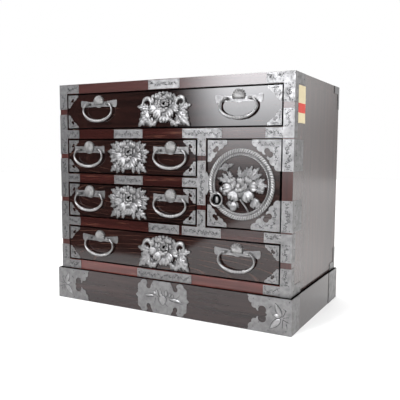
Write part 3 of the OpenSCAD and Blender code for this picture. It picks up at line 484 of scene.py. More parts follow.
DOOR_PETALS = tuple(Petal(*row) for row in (
    (BALL, -4, -9, 0, 74, 56, 3.4), (LEAF, 16, 14, 88, 32, 15, 4.6), (LEAF, 18, 17, 64, 35, 18, 5, 2),
    (LEAF, 20, 16, 42, 43, 20, 5.4), (LEAF, 24, 13, 24, 38, 18, 5), (LEAF, -1, 14, 98, 33, 16, 5),
    (LEAF, 4, 14, 74, 27, 13, 4.6), (LEAF, 38, 1, -4, 37, 20, 5.6), (LEAF, 38, 4, 22, 31, 16, 5),
    (LEAF, 38, -5, -34, 29, 17, 5), (LEAF, -36, 5, 162, 34, 15, 4.6), (LEAF, -33, 8, 134, 29, 14, 4.6),
    (LEAF, -26, 11, 108, 25, 14, 4.6), (LEAF, 30, -35, -16, 24, 12, 4.6), (LEAF, 30, -37, -74, 26, 12, 4.6),
    (LEAF, -26, -46, 205, 18, 10, 4), (LEAF, -14, -46, -60, 18, 10, 4), (LEAF, -38, 46, 20, 19, 11, 4),
    (LEAF, -50, 42, 190, 19, 11, 4), (BALL, -56, -15, 200, 13, 16, 4.6), (BALL, -47, -24, 220, 13, 16, 4.6),
    (CUP, 57, -9, -20, 18, 18, 6.2), (CUP, -37, -10, 190, 28, 28, 8.0), (CUP, 34, -4, -6, 25, 29, 8.0),
    (CUP, -25, 9, 114, 15, 27, 7.2), (CUP, 0, 10, 90, 15, 27, 7.6), (CUP, 21, 12, 66, 16, 28, 7.2),
    (CUP, -21, -30, 246, 26, 38, 7.0), (CUP, 20, -29, -66, 29, 38, 7.2), (CUP, -20, -55, 262, 22, 23, 5.6),
    (FRILL, -21, -65, 270, 11, 20, 5), (FRILL, -30, -56, 220, 12, 18, 5.2), (CUP, 42, -45, -48, 23, 24, 5.6),
    (FRILL, 49, -53, -50, 11, 22, 5), (FRILL, 33, -53, 235, 11, 16, 5.2), (FRILL, -44, 50, 90, 10, 12, 5),
    (FRILL, -50, 46, 162, 10, 12, 5), (FRILL, -48, 39, 234, 10, 12, 5), (FRILL, -41, 39, 306, 10, 12, 5),
    (FRILL, -38, 46, 18, 10, 12, 5), (BALL, -44, 44, 0, 8, 8, 6.0), (FRILL, -18, 1, 150, 16, 20, 8.6),
    (FRILL, 3, 4, 66, 15, 21, 8.6), (FRILL, 14, -4, 0, 13, 18, 8.8), (BALL, -22, -7, 190, 12, 14, 8.6),
    (FRILL, -4, -14, 268, 12, 29, 9.6), (BALL, 9, -9, -20, 12, 14, 9.4), (BALL, -6, -4, 80, 14, 17, 10),
))


# Finishes


class Fade(NamedTuple):
    """A passage from one value to another: where it starts and ends, and the results there."""

    low: float
    high: float
    bottom: float = 0.0
    top: float = 1.0


@dataclass
class Nodes:
    """A node tree under construction."""

    tree: NodeTree

    def join(self, socket: NodeSocket, value: object) -> None:
        """Sets an input to a value, or links it from a socket.

        Args:
            socket: The input.
            value: The value or the socket.
        """
        if isinstance(value, NodeSocket):
            self.tree.links.new(value, socket)
        else:
            socket.default_value = value

    def node(self, kind: str, inputs: Optional[dict] = None, **settings: object) -> Node:
        """Adds a node.

        Args:
            kind: The node's type.
            inputs: Its inputs by name or number, each a value or a socket to link from.
            settings: Its settings.

        Returns:
            The node.
        """
        made = self.tree.nodes.new(kind)
        for key, value in settings.items():
            setattr(made, key, value)
        for key, value in (inputs or {}).items():
            self.join(made.inputs[key], value)
        return made

    def ramp(self, value: NodeSocket, low: float, high: float, bottom: float = 0.0, top: float = 1.0,
             curve: str = "LINEAR") -> NodeSocket:
        """Gives a value stretched from the range low to high to the range bottom to top, and held at its ends."""
        limits = {"From Min": low, "From Max": high, "To Min": bottom, "To Max": top}
        return self.node("ShaderNodeMapRange", {"Value": value, **limits}, interpolation_type=curve).outputs["Result"]

    def math(self, operation: str, a: object, b: object = 0.0) -> NodeSocket:
        """Gives the result of a sum, product or other operation on values or sockets."""
        return self.node("ShaderNodeMath", {0: a, 1: b}, operation=operation).outputs[0]


class Recipe(Nodes):
    """A material under construction, with its surface shader and its object coordinates."""

    def __init__(self, name: str) -> None:
        """Starts the material.

        Args:
            name: The material's name.
        """
        self.material = bpy.data.materials.new(name)
        self.material.use_nodes = True
        super().__init__(self.material.node_tree)
        self.shader = self.tree.nodes["Principled BSDF"]
        self.place = self.node("ShaderNodeTexCoord").outputs["Object"]

    def mapped(self, centre: Vector, scale: Triple, turn: float = 0.0) -> NodeSocket:
        """Gives object coordinates about a centre in metres, turned about the depth axis in radians and stretched."""
        moved = self.node("ShaderNodeMapping", {0: self.place, "Location": -centre}).outputs[0]
        return self.node("ShaderNodeMapping", {0: moved, "Rotation": (0, turn, 0), "Scale": scale}).outputs[0]

    def axis(self, name: str) -> NodeSocket:
        """Gives the object coordinate along one axis."""
        return self.node("ShaderNodeSeparateXYZ", {"Vector": self.place}).outputs[name]

    def facing(self, name: str) -> NodeSocket:
        """Gives how far the surface looks along one axis, from -1 to 1."""
        normal = self.node("ShaderNodeTexCoord").outputs["Normal"]
        return self.node("ShaderNodeSeparateXYZ", {"Vector": normal}).outputs[name]

    def noise(self, vector: NodeSocket, scale: float, detail: float = 3.0,
              roughness: float = 0.55) -> NodeSocket:
        """Gives a noise value at a scale, with finer layers of a roughness in it."""
        inputs = {"Vector": vector, "Scale": scale, "Detail": detail, "Roughness": roughness}
        return self.node("ShaderNodeTexNoise", inputs).outputs["Fac"]

    def blend(self, share: NodeSocket, a: object, b: object) -> NodeSocket:
        """Gives a colour between two, each a colour or a socket."""
        a, b = (c if isinstance(c, NodeSocket) else (*c, 1.0) for c in (a, b))
        return self.node("ShaderNodeMix", {0: share, 6: a, 7: b}, data_type="RGBA").outputs[2]

    def set(self, **values: object) -> None:
        """Sets or links the surface shader's inputs by name, with underscores for spaces."""
        for key, value in values.items():
            self.join(self.shader.inputs[key.replace("_", " ")], value)

    def bump(self, height: NodeSocket, strength: float, depth: float) -> None:
        """Raises the surface by a height of up to the depth in metres."""
        made = self.node("ShaderNodeBump", {"Height": height, "Strength": strength, "Distance": depth})
        self.set(Normal=made.outputs["Normal"])


class Grain(Enum):
    """The direction that a board's grain runs in, as the stretch of its pattern."""

    ALONG_X = (0.045, 1.0, 1.0)
    ALONG_Y = (1.0, 0.045, 1.0)
    ALONG_Z = (1.0, 1.0, 0.045)


@dataclass(frozen=True)
class Lacquer:
    """Wiped lacquer over wood: a deep colour, pale grain lines and a glossy coat.

    Attributes:
        name: The material's name.
        dark: The deeper tone of its bands.
        light: The lighter tone of its bands.
        line: The colour of its grain lines.
        lines: How strongly the lines show.
        grain: The direction of its grain.
        arch: How close the rings of an arched figure lie, or 0 for straight lines.
        arch_turn: The turn of that figure in radians.
        coat: The weight of its coat.
        coat_rough: The roughness of its coat.
        coat_back_shaded: The coat's weight at the back of the body, where it fades towards it as painted shade of its
            reflection.
        coat_top: The coat's weight on faces that look up, where they differ.
        sheen: The gloss under the coat.
        painted_gap_shade: Whether every face but the front one is painted black, as painted shade in the gaps round the
            front.
        painted_top_shadow: Whether the faces that look up are painted black, as the shadow that the body casts on them.
        front_y: The depth before which a board's edge is red.
        front_tint: The red of that edge.
        tones: Where the bands run from dark to light.
        pores: Where the pores run from nothing to dark.
        patches: Where the patches run from bare to lined.
        straight: Where a straight line starts and is full.
        ringed: Where a ring's line starts and is full.
        band_scale: How fine its bands are.
        pore_scale: How fine its pores are.
        line_scale: How fine its straight lines are.
        patch_scale: How fine the patches are in which the lines show.
        oval: How far the rings of an arched figure are stretched.
    """

    name: str
    dark: Colour
    light: Colour
    line: Colour
    lines: float
    grain: Grain
    arch: float = 0.0
    arch_turn: float = 0.0
    coat: float = 1.0
    coat_rough: float = 0.1
    coat_back_shaded: Optional[float] = None
    coat_top: Optional[float] = None
    sheen: float = 0.0
    painted_gap_shade: bool = False
    painted_top_shadow: bool = False
    front_y: Optional[float] = None
    front_tint: Colour = (0.055, 0.015, 0.0125)
    tones: Fade = Fade(0.32, 0.68)
    pores: Fade = Fade(0.58, 0.75, 0.0, 0.5)
    patches: Fade = Fade(0.35, 0.65)
    straight: Fade = Fade(0.64, 0.72)
    ringed: Fade = Fade(0.93, 1.0)
    band_scale: float = 60.0
    pore_scale: float = 420.0
    line_scale: float = 190.0
    patch_scale: float = 24.0
    oval: Triple = (0.16, 1.0, 1.0)

    def material(self, centre: Vector = Vector((0, 0, 0))) -> Material:
        """Makes the finish.

        Args:
            centre: The middle of the board's figure, in metres.

        Returns:
            The material.
        """
        r = Recipe(self.name)
        stretched = r.mapped(centre, self.grain.value)
        bands = r.noise(stretched, self.band_scale, 4.0)
        pores = r.noise(stretched, self.pore_scale, 2.0)
        tone = r.ramp(bands, *self.tones)
        base = r.blend(tone, self.dark, self.light)
        base = r.blend(r.ramp(pores, *self.pores), base, self.dark)
        broken = r.ramp(r.noise(r.place, self.patch_scale, 2.0), *self.patches)
        thread = r.ramp(self.rings(r, centre), *self.ringed) if self.arch else r.ramp(
            r.noise(stretched, self.line_scale, 1.0), *self.straight)
        share = r.math("MULTIPLY", r.math("MULTIPLY", thread, broken), self.lines)
        colour = r.blend(share, base, self.line)
        if self.front_y is not None:
            red = r.blend(tone, tuple(0.5 * c for c in self.front_tint), self.front_tint)
            colour = r.blend(r.math("LESS_THAN", r.axis("Y"), self.front_y), colour, red)
        colour, shine = self.edged(r, colour)
        r.set(Base_Color=colour, Roughness=0.5, Specular_IOR_Level=self.sheen, Coat_Weight=shine,
              Coat_Roughness=self.coat_rough, Coat_IOR=1.5)
        r.bump(r.math("ADD", r.math("MULTIPLY", bands, 0.5), pores), 0.12, 0.0004)
        return r.material

    def rings(self, r: Recipe, centre: Vector) -> NodeSocket:
        """Gives the rings of an arched figure.

        Args:
            r: The material under construction.
            centre: The middle of the figure, in metres.

        Returns:
            The rings' height, from 0 to 1.
        """
        oval = r.mapped(centre, self.oval, self.arch_turn)
        waves = r.node("ShaderNodeTexWave", {"Vector": oval, "Scale": self.arch, "Distortion": 5.0, "Detail": 2.0,
                                             "Detail Scale": 0.35, "Detail Roughness": 0.5},
                       wave_type="RINGS", rings_direction="Y", wave_profile="SIN")
        return waves.outputs["Fac"]

    def edged(self, r: Recipe, colour: NodeSocket) -> tuple[NodeSocket, object]:
        """Paints black shade on the faces in the gaps or under the body, fades the coat towards the back as painted
        shade of its reflection, and sets the coat on faces that look up.

        Args:
            r: The material under construction.
            colour: Its colour so far.

        Returns:
            The colour, and the weight of the coat as a number or a socket.
        """
        shine = self.coat
        if self.painted_gap_shade or self.painted_top_shadow:
            # Painted shade: black on the faces off the front, which stand in the gaps, or on the faces that look up,
            # which lie in the body's shadow.
            edge = r.ramp(r.facing("Y"), -0.95, -0.85) if self.painted_gap_shade else r.ramp(r.facing("Z"), 0.6, 0.8)
            colour = r.blend(edge, colour, (0.002, 0.002, 0.002))
            shine = r.math("MULTIPLY", r.math("SUBTRACT", 1.0, edge), self.coat)
        # Painted shade: the coat's reflection is dimmed towards the back of the body.
        if self.coat_back_shaded is not None:
            low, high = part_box("right_side")
            shine = r.ramp(r.axis("Y"), low.y, high.y, self.coat, self.coat_back_shaded)
        if self.coat_top is not None:
            up = r.math("GREATER_THAN", r.facing("Z"), 0.7)
            level = r.math("MULTIPLY", shine, r.math("SUBTRACT", 1.0, up))
            shine = r.math("ADD", level, r.math("MULTIPLY", up, self.coat_top))
        return colour, shine


@dataclass(frozen=True)
class PaleWood:
    """Bare light wood with a straight fine grain, which runs along X on faces that look to the front or back."""

    name: str
    dark: Colour
    light: Colour
    grain: Grain
    tones: Fade = Fade(0.35, 0.65)
    pores: Fade = Fade(0.55, 0.7, 0.0, 0.35)
    band_scale: float = 90.0
    pore_scale: float = 600.0

    def material(self) -> Material:
        """Makes the finish.

        Returns:
            The material.
        """
        r = Recipe(self.name)
        cross = r.math("GREATER_THAN", r.math("ABSOLUTE", r.facing("Y")), 0.7)
        along, across = (r.mapped(Vector((0, 0, 0)), grain.value) for grain in (self.grain, Grain.ALONG_X))
        bands, pores = (r.node("ShaderNodeMix", {0: cross, 2: r.noise(along, scale, detail),
                                                 3: r.noise(across, scale, detail)}).outputs[0]
                        for scale, detail in ((self.band_scale, 4.0), (self.pore_scale, 2.0)))
        colour = r.blend(r.ramp(bands, *self.tones), self.dark, self.light)
        colour = r.blend(r.ramp(pores, *self.pores), colour, self.dark)
        r.set(Base_Color=colour, Roughness=0.62)
        r.bump(r.math("ADD", bands, pores), 0.2, 0.0003)
        return r.material


@dataclass(frozen=True)
class Iron:
    """Chased iron: bright where it is rubbed, dark in its specks, and dark in the hollows of raised work, as patina
    there and as painted shade.

    Attributes:
        name: The material's name.
        bright: The colour where it is rubbed.
        dull: The colour where it isn't.
        hollow: The colour of its specks, and of the hollows of raised work, as patina there and as painted shade.
        rough: Its roughness.
        relief: The depths from which and to which raised work turns from hollow to bright, with patina and painted
            shade in the hollows.
        hammer: The strength of its hammered surface.
        shaded_seam: The two places on X between which it is painted black, as the shadow beside the door's edge.
        shaded_seam_tint: That black of the painted shadow.
        tones: Where the clouds run from dull to bright.
        specks: Where the specks run from dark to nothing.
        cloud_scale: How fine its clouds are.
        speck_scale: How fine its specks are.
        fine_scale: How fine its finest grain is.
    """

    name: str
    bright: Colour
    dull: Colour
    hollow: Colour
    rough: float
    relief: Optional[Pair] = None
    hammer: float = 0.25
    shaded_seam: Optional[Pair] = None
    shaded_seam_tint: Colour = (0.01, 0.01, 0.011)
    tones: Fade = Fade(0.35, 0.68)
    specks: Fade = Fade(0.0, 0.28, 0.45, 0.0)
    cloud_scale: float = 70.0
    speck_scale: float = 420.0
    fine_scale: float = 900.0

    def material(self) -> Material:
        """Makes the finish.

        Returns:
            The material.
        """
        r = Recipe(self.name)
        cloud = r.noise(r.place, self.cloud_scale, 4.0, 0.65)
        specks = r.node("ShaderNodeTexVoronoi", {"Vector": r.place, "Scale": self.speck_scale}).outputs["Distance"]
        colour = r.blend(r.ramp(cloud, *self.tones), self.dull, self.bright)
        colour = r.blend(r.ramp(specks, *self.specks), colour, self.hollow)
        # Darker with depth below the face: patina in the hollows and painted shade where the raised work shades them.
        if self.relief:
            colour = r.blend(r.math("POWER", r.ramp(r.axis("Y"), *self.relief), 0.8), self.hollow, colour)
        # Painted shadow: a black band on X stands for the shade beside the door's edge.
        if self.shaded_seam:
            along = r.axis("X")
            inside = r.math("MULTIPLY", r.math("GREATER_THAN", along, self.shaded_seam[0]),
                            r.math("LESS_THAN", along, self.shaded_seam[1]))
            colour = r.blend(inside, colour, self.shaded_seam_tint)
        fine = r.noise(r.place, self.fine_scale, 2.0)
        r.set(Base_Color=colour, Metallic=1.0, Roughness=r.ramp(cloud, 0.3, 0.7, self.rough + 0.1, self.rough - 0.04))
        r.bump(r.math("ADD", r.math("MULTIPLY", specks, 0.6), fine), self.hammer, 0.0003)
        return r.material


@dataclass(frozen=True)
class Paper:
    """A slip of pale paper with a plain red block between two heights, in metres."""

    name: str
    cream: Colour
    red: Colour
    low_z: float
    high_z: float
    fibres: Fade = Fade(0.3, 0.7, 0.0, 0.3)
    fibre_scale: float = 300.0

    def material(self) -> Material:
        """Makes the finish.

        Returns:
            The material.
        """
        r = Recipe(self.name)
        height = r.axis("Z")
        above = r.math("GREATER_THAN", height, self.low_z)
        below = r.math("LESS_THAN", height, self.high_z)
        fibre = r.noise(r.place, self.fibre_scale, 4.0)
        paper = r.blend(r.ramp(fibre, *self.fibres), self.cream, tuple(0.8 * c for c in self.cream))
        r.set(Base_Color=r.blend(r.math("MULTIPLY", above, below), paper, self.red), Roughness=0.8)
        r.bump(fibre, 0.1, 0.0002)
        return r.material


class Finishes:
    """All the finishes of the chest, made once."""

    def __init__(self) -> None:
        """Makes the wood finishes and then the iron ones."""
        self.lacquers()
        self.bare_wood()
        self.irons()

    def lacquers(self) -> None:
        """Makes the lacquer of the fronts, the door, the plinth and the body's boards, the boards in lit and shaded
        copies.
        """
        # The fronts' faces off the front are painted black as the shade in the gaps round them.
        front = dict(dark=(0.006, 0.0026, 0.0024), light=(0.02, 0.0075, 0.0062), line=(0.12, 0.062, 0.045),
                     grain=Grain.ALONG_X, painted_gap_shade=True, coat_rough=0.08)
        figures = {
            "top_drawer": ("lacquer_top", Vector((0, 0, 0)), dict(lines=0.2)),
            "upper_drawer": ("lacquer_upper", Vector((0.12, 0, -0.01)), dict(lines=0.35, arch=26.0, arch_turn=0.12)),
            "lower_drawer": ("lacquer_lower", Vector((0.1, 0, 0.02)), dict(lines=0.45, arch=30.0, arch_turn=-0.1)),
            "bottom_drawer": ("lacquer_bottom", Vector((0.02, 0, -0.05)), dict(lines=0.5, arch=26.0, arch_turn=0.05)),
        }
        self.fronts = {drawer: Lacquer(name, **front, **figure).material(middle(f"{drawer}_front") + off)
                       for drawer, (name, off, figure) in figures.items()}
        door = {**front, "dark": (0.012, 0.0068, 0.0062), "light": (0.032, 0.017, 0.0145)}
        self.door = Lacquer("lacquer_door", lines=0.15, **door).material(middle("door_panel"))
        plinth = {**front, "dark": (0.012, 0.0085, 0.0085), "light": (0.032, 0.019, 0.018), "painted_gap_shade": False}
        # The plinth's top is painted black as the shadow of the body above it.
        self.plinth = Lacquer("lacquer_plinth", lines=0.12, painted_top_shadow=True, **plinth).material()
        body = dict(line=(0.2, 0.09, 0.06), lines=0.35, coat_rough=0.08)
        # Lit and shaded copies of one lacquer: red is painted lighter for the bottom board, as the floor's bounce light
        # on it, and deep darker for the rails and the partition, as painted shade.
        red = dict(dark=(0.05, 0.0125, 0.0105), light=(0.115, 0.029, 0.024), **body)
        deep = dict(dark=(0.015, 0.0042, 0.0038), light=(0.036, 0.0098, 0.0082), **body)
        self.foot = Lacquer("frame_lacquer_foot_floor_lit", grain=Grain.ALONG_X, **red).material()
        self.rails = Lacquer("frame_lacquer_rails_shaded", grain=Grain.ALONG_X, **deep).material()
        self.posts = Lacquer("frame_lacquer_posts_shaded", grain=Grain.ALONG_Z, **deep).material()
        # The sides' coat fades towards the back as painted shade of their reflection.
        side = dict(dark=(0.022, 0.01, 0.0085), light=(0.045, 0.02, 0.016), line=(0.1, 0.05, 0.035), lines=0.25,
                    sheen=0.1, front_y=front_of("right_side") + 0.2 * MM, coat=0.97, coat_back_shaded=0.55, coat_top=0.3,
                    coat_rough=0.16)
        self.sides = Lacquer("frame_lacquer_sides", grain=Grain.ALONG_Z, **side).material()
        self.top = Lacquer("frame_lacquer_top", grain=Grain.ALONG_X, **side).material()

    def bare_wood(self) -> None:
        """Makes the bare wood of the trays and of the boards at the back."""
        wood = dict(dark=(0.42, 0.29, 0.17), light=(0.62, 0.47, 0.31))
        self.trays = PaleWood("pale_wood_trays", grain=Grain.ALONG_Y, **wood).material()
        self.back = PaleWood("pale_wood_back", grain=Grain.ALONG_X, **wood).material()

    def irons(self) -> None:
        """Makes the iron of the plates, the reliefs and the small parts."""
        face = front_of("door_panel")
        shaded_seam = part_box("hinge_door_leaves")[1].x
        plate = dict(bright=(0.225, 0.221, 0.221), dull=(0.152, 0.149, 0.149), hollow=(0.06, 0.06, 0.062), rough=0.4)
        self.plate = Iron("plate_iron", **plate).material()
        # The hinge plates carry a black band of painted shadow beside the door's edge.
        self.hinge = Iron("hinge_iron_seam_shadow", shaded_seam=(shaded_seam - 3.6 * MM, shaded_seam + 0.1 * MM), **plate).material()
        self.cased = Iron("case_iron", (0.22, 0.22, 0.23), (0.12, 0.12, 0.13), (0.04, 0.04, 0.045), 0.45).material()
        relief = dict(bright=(0.32, 0.315, 0.315), dull=(0.21, 0.207, 0.207), hollow=(0.035, 0.034, 0.035))
        self.relief = Iron("relief_iron", rough=0.38, relief=(face - 1.0 * MM, face - 6.0 * MM), hammer=0.45,
                           **relief).material()
        rope = {**relief, "bright": (0.42, 0.415, 0.415), "dull": (0.31, 0.306, 0.306)}
        self.rope = Iron("rope_iron", rough=0.38, relief=(face - 0.4 * MM, face - 4.5 * MM), **rope).material()
        self.bright = Iron("bright_iron_plain", rough=0.32, **relief).material()
        self.shell = Iron("shell_iron", (0.27, 0.265, 0.262), (0.18, 0.176, 0.174), (0.045, 0.044, 0.044), 0.4,
                          relief=(face - 1.8 * MM, face - 6.2 * MM), hammer=0.35).material()
        # Painted shade: the dark finish of the petals' outer faces and of the band's deepest grooves, where shade falls
        # between parts.
        self.gap = Iron("gap_shade_iron", (0.07, 0.068, 0.068), (0.04, 0.039, 0.039), (0.02, 0.02, 0.02), 0.5).material()
        self.nail = Iron("nail_iron", (0.09, 0.088, 0.088), (0.05, 0.049, 0.049), (0.02, 0.02, 0.02), 0.45).material()
        # Black for the door's keyhole rim, and for the pull ring's seat as painted shade.
        self.black = Iron("black_and_shade_iron", (0.008, 0.008, 0.008), (0.004, 0.004, 0.004), (0.002, 0.002, 0.002),
                          0.7).material()
        self.groove = Iron("groove_iron", (0.04, 0.04, 0.042), (0.024, 0.024, 0.026), (0.012, 0.012, 0.013),
                           0.5).material()


# Drawers


@dataclass
class KeyRim:
    """The flat rim round a keyhole, with the hole's own outline through it, in millimetres."""

    outer: float = 10.5
    height: float = 4.0
    hole: float = 4.2
    slot_w: float = 3.2
    slot_l: float = 10.5
    slot_turn: float = 40.0
    slot_reach: float = 0.75
    slot_spread: float = 1.2
    wall: float = 1.4
    count: int = 40

    def draw(self, bm: BMesh, place: Matrix) -> None:
        """Draws the rim.

        Args:
            bm: The mesh under construction.
            place: The matrix of the keyhole's middle.
        """
        part = bmesh.new()
        outer = bmesh.ops.create_circle(part, cap_ends=False, radius=self.outer, segments=self.count)["verts"]
        inner = bmesh.ops.create_circle(part, cap_ends=False, radius=self.hole, segments=self.count)["verts"]
        turn = Matrix.Rotation(math.radians(self.slot_turn), 4, "Z")
        for loop, wall in ((outer, self.wall), (inner, 0.0)):
            for vert in loop:
                if vert.co.x > 0 and abs(vert.co.y) <= self.slot_reach * self.slot_w:
                    share = max(-0.5, min(0.5, vert.co.y / (self.slot_spread * self.slot_w)))
                    vert.co.xy = (self.slot_l + wall, share * (self.slot_w + 2 * wall))
        edges = {e for v in (*outer, *inner) for e in v.link_edges}
        bmesh.ops.bridge_loops(part, edges=list(edges))
        grown = bmesh.ops.extrude_face_region(part, geom=list(part.faces))["geom"]
        top = [v for v in grown if isinstance(v, BMVert)]
        bmesh.ops.translate(part, vec=(0, 0, self.height), verts=top)
        stamp(bm, part, place @ Matrix.Scale(MM, 4) @ turn)


@dataclass(frozen=True)
class Curl:
    """A petal rolled into an open ring on each half of a plate, in millimetres and degrees."""

    centre: Pair
    radii: Pair
    angles: Pair
    width: float
    rise: float
    ends: float = 0.28
    swell: float = 1.3
    steps: int = 28
    sides: int = 12

    def point(self, t: float) -> Pair:
        """Gives the ring's place at a share of its length."""
        a = math.radians(self.angles[0] + (self.angles[1] - self.angles[0]) * t)
        return (self.centre[0] + self.radii[0] * math.cos(a), self.centre[1] + self.radii[1] * math.sin(a))

    def breadth(self, t: float) -> float:
        """Gives the ring's width at a share of its length."""
        return self.width * (self.ends + (1 - self.ends) * math.sin(math.pi * t) ** self.swell)

    def draw(self, bm: BMesh, place: Matrix) -> None:
        """Draws the two rings, each widest half way round.

        Args:
            bm: The mesh under construction.
            place: The plate's matrix.
        """
        part = bmesh.new()
        flat_rod(part, [self.point(k / self.steps) for k in range(self.steps + 1)], self.breadth, self.rise, self.sides)
        stamp(bm, part, *(place @ Matrix.Diagonal((side * MM, MM, MM, 1)) for side in (1, -1)))


@dataclass
class PeonyLock:
    """A drawer's lock plate: a peony over leaves, pierced by the keyhole."""

    drawer: str
    finishes: Finishes
    key_drop: float = 6.0
    curls: tuple[Curl, ...] = (Curl((54.0, 0.5), (13.5, 15.0), (-40.0, 232.0), 14.0, 6.6),
                               Curl((36.0, -41.0), (10.0, 10.0), (70.0, -165.0), 8.4, 6.2))

    def build(self) -> None:
        """Builds the plate and puts it on its drawer."""
        node = f"{self.drawer}_lock_plate"
        front = middle(f"{self.drawer}_front")
        key_z = joint_place(f"{self.drawer}_left_bail_swing").z - self.key_drop * MM
        place = Facing.FRONT.at(Vector((front.x, front_of(f"{self.drawer}_front"), key_z)))
        bm = bmesh.new()
        wide = self.drawer in WIDE_DRAWERS
        Spray(WIDE_PETALS if wide else SMALL_PETALS).draw(bm, place)
        if wide:
            for curl in self.curls:
                curl.draw(bm, place)
        KeyRim().draw(bm, place)
        place_piece(f"{self.drawer}_peony", bm, self.finishes.relief, self.drawer, [node],
                    second=self.finishes.gap)


@dataclass
class Bail:
    """A forged bail handle with collars and a rippled middle, its pins and their heads.

    Attributes:
        drawer: The drawer that it hangs on.
        side: Its side of the drawer.
        finishes: The finishes.
        a: Half the width of its oval bow.
        b: Half the height of that oval.
        curl: How far the bow's ends turn in above the oval's middle, in degrees.
        mid_r: The bow's radius in its middle.
        end_r: The bow's radius at its ends.
        collar_at: The angles of its collars in degrees.
        collar_h: How far a collar stands out.
        collar_w: The half width of a collar in degrees.
        ripple_h: The height of its ripples.
        ripple_w: The width of a ripple in degrees.
        ripple_sink: How far the rippled part is drawn in.
        steps: The number of rings along it.
        sides: The number of corners of a ring.
        pin_r: The radius of its pins.
        head_r: The radius of their heads.
        head_x: The distance of a head from the bail's middle.
        head_l: The thickness of a head.
    """

    drawer: str
    side: str
    finishes: Finishes
    a: float = 52.0
    b: float = 31.0
    curl: float = 37.5
    mid_r: float = 4.8
    end_r: float = 2.6
    collar_at: tuple[float, ...] = (60.0, 65.0, 115.0, 120.0)
    collar_h: float = 0.85
    collar_w: float = 1.5
    ripple_h: float = 0.5
    ripple_w: float = 8.4
    ripple_sink: float = 0.33
    steps: int = 180
    sides: int = 18
    pin_r: float = 2.0
    head_r: float = 2.9
    head_x: float = 29.1
    head_l: float = 2.0

    def radius(self, angle: float) -> float:
        """Gives the bow's radius at a place along it.

        Args:
            angle: The place's angle about the oval's middle, in degrees.

        Returns:
            The radius in millimetres.
        """
        swell = max(0.0, math.sin(math.radians(angle))) ** 1.5
        r = self.end_r + (self.mid_r - self.end_r) * swell
        r += sum(self.collar_h * math.exp(-(((angle - c) / self.collar_w) ** 2)) for c in self.collar_at)
        start, end = self.collar_at[1:3]
        if start < angle < end:
            r += self.ripple_h * math.sin(2 * math.pi * (angle - start) / self.ripple_w) - self.ripple_sink
        return r

    def bow(self) -> list[Station]:
        """Gives the rings of the bow about its pivot.

        Returns:
            The rings, from one end to the other.
        """
        drop = self.b * math.sin(math.radians(self.curl))
        stations = []
        for k in range(self.steps + 1):
            deg = -self.curl + (180 + 2 * self.curl) * k / self.steps
            rad = math.radians(deg)
            across = Vector((self.b * math.cos(rad), 0, -self.a * math.sin(rad))).normalized()
            centre = Vector((self.a * math.cos(rad), 0, -drop - self.b * math.sin(rad)))
            stations.append(Station(centre, across, Vector((0, 1, 0)), self.radius(deg), self.radius(deg)))
        return stations

    def build(self) -> None:
        """Builds the bail at its pivots and puts it on its body."""
        name = f"{self.drawer}_{self.side}_bail"
        pivot = joint_place(f"{name}_swing")
        bm = bmesh.new()
        stub = self.a * math.cos(math.radians(self.curl)) - self.end_r
        ends = [Station(Vector((s * stub, 0, 0)), Vector((0, 0, 1)), Vector((0, 1, 0)), self.end_r, self.end_r)
                for s in (1, -1)]
        sweep(bm, [ends[0], *self.bow(), ends[1]], self.sides)
        for s in (1, -1):
            for r, far in ((self.pin_r, stub + 1), (self.head_r, self.head_x + self.head_l)):
                made = bmesh.ops.create_cone(bm, cap_ends=True, segments=16, radius1=r, radius2=r,
                                             depth=far - self.head_x)["verts"]
                spot = Matrix.Translation((s * (far + self.head_x) / 2, 0, 0)) @ Matrix.Rotation(math.pi / 2, 4, "Y")
                bmesh.ops.transform(bm, matrix=spot, verts=made)
        bmesh.ops.transform(bm, matrix=Matrix.Translation(pivot) @ Matrix.Scale(MM, 4), verts=bm.verts)
        place_piece(f"{name}_forged", bm, self.finishes.bright, name, [name])


@dataclass(frozen=True)
class ShellForm:
    """The size and the work of one kind of shell, in millimetres.

    Attributes:
        radius: Its radius.
        lift: The height of its middle above the bail's pivot.
        foot: The distance of its straight foot from its middle.
        flute: The angle of one flute in degrees.
        depth: The depth of the flutes at the edge, as a share of its rise.
        slope: How far it falls off towards its foot, as a share of its rise.
    """

    radius: float
    lift: float
    foot: float
    flute: float
    depth: float
    slope: float


FAN = ShellForm(19.0, 5.5, 6.5, 15.0, 0.5, 0.15)
KNOB = ShellForm(19.2, 6.5, 15.3, 11.0, 0.42, 0.55)


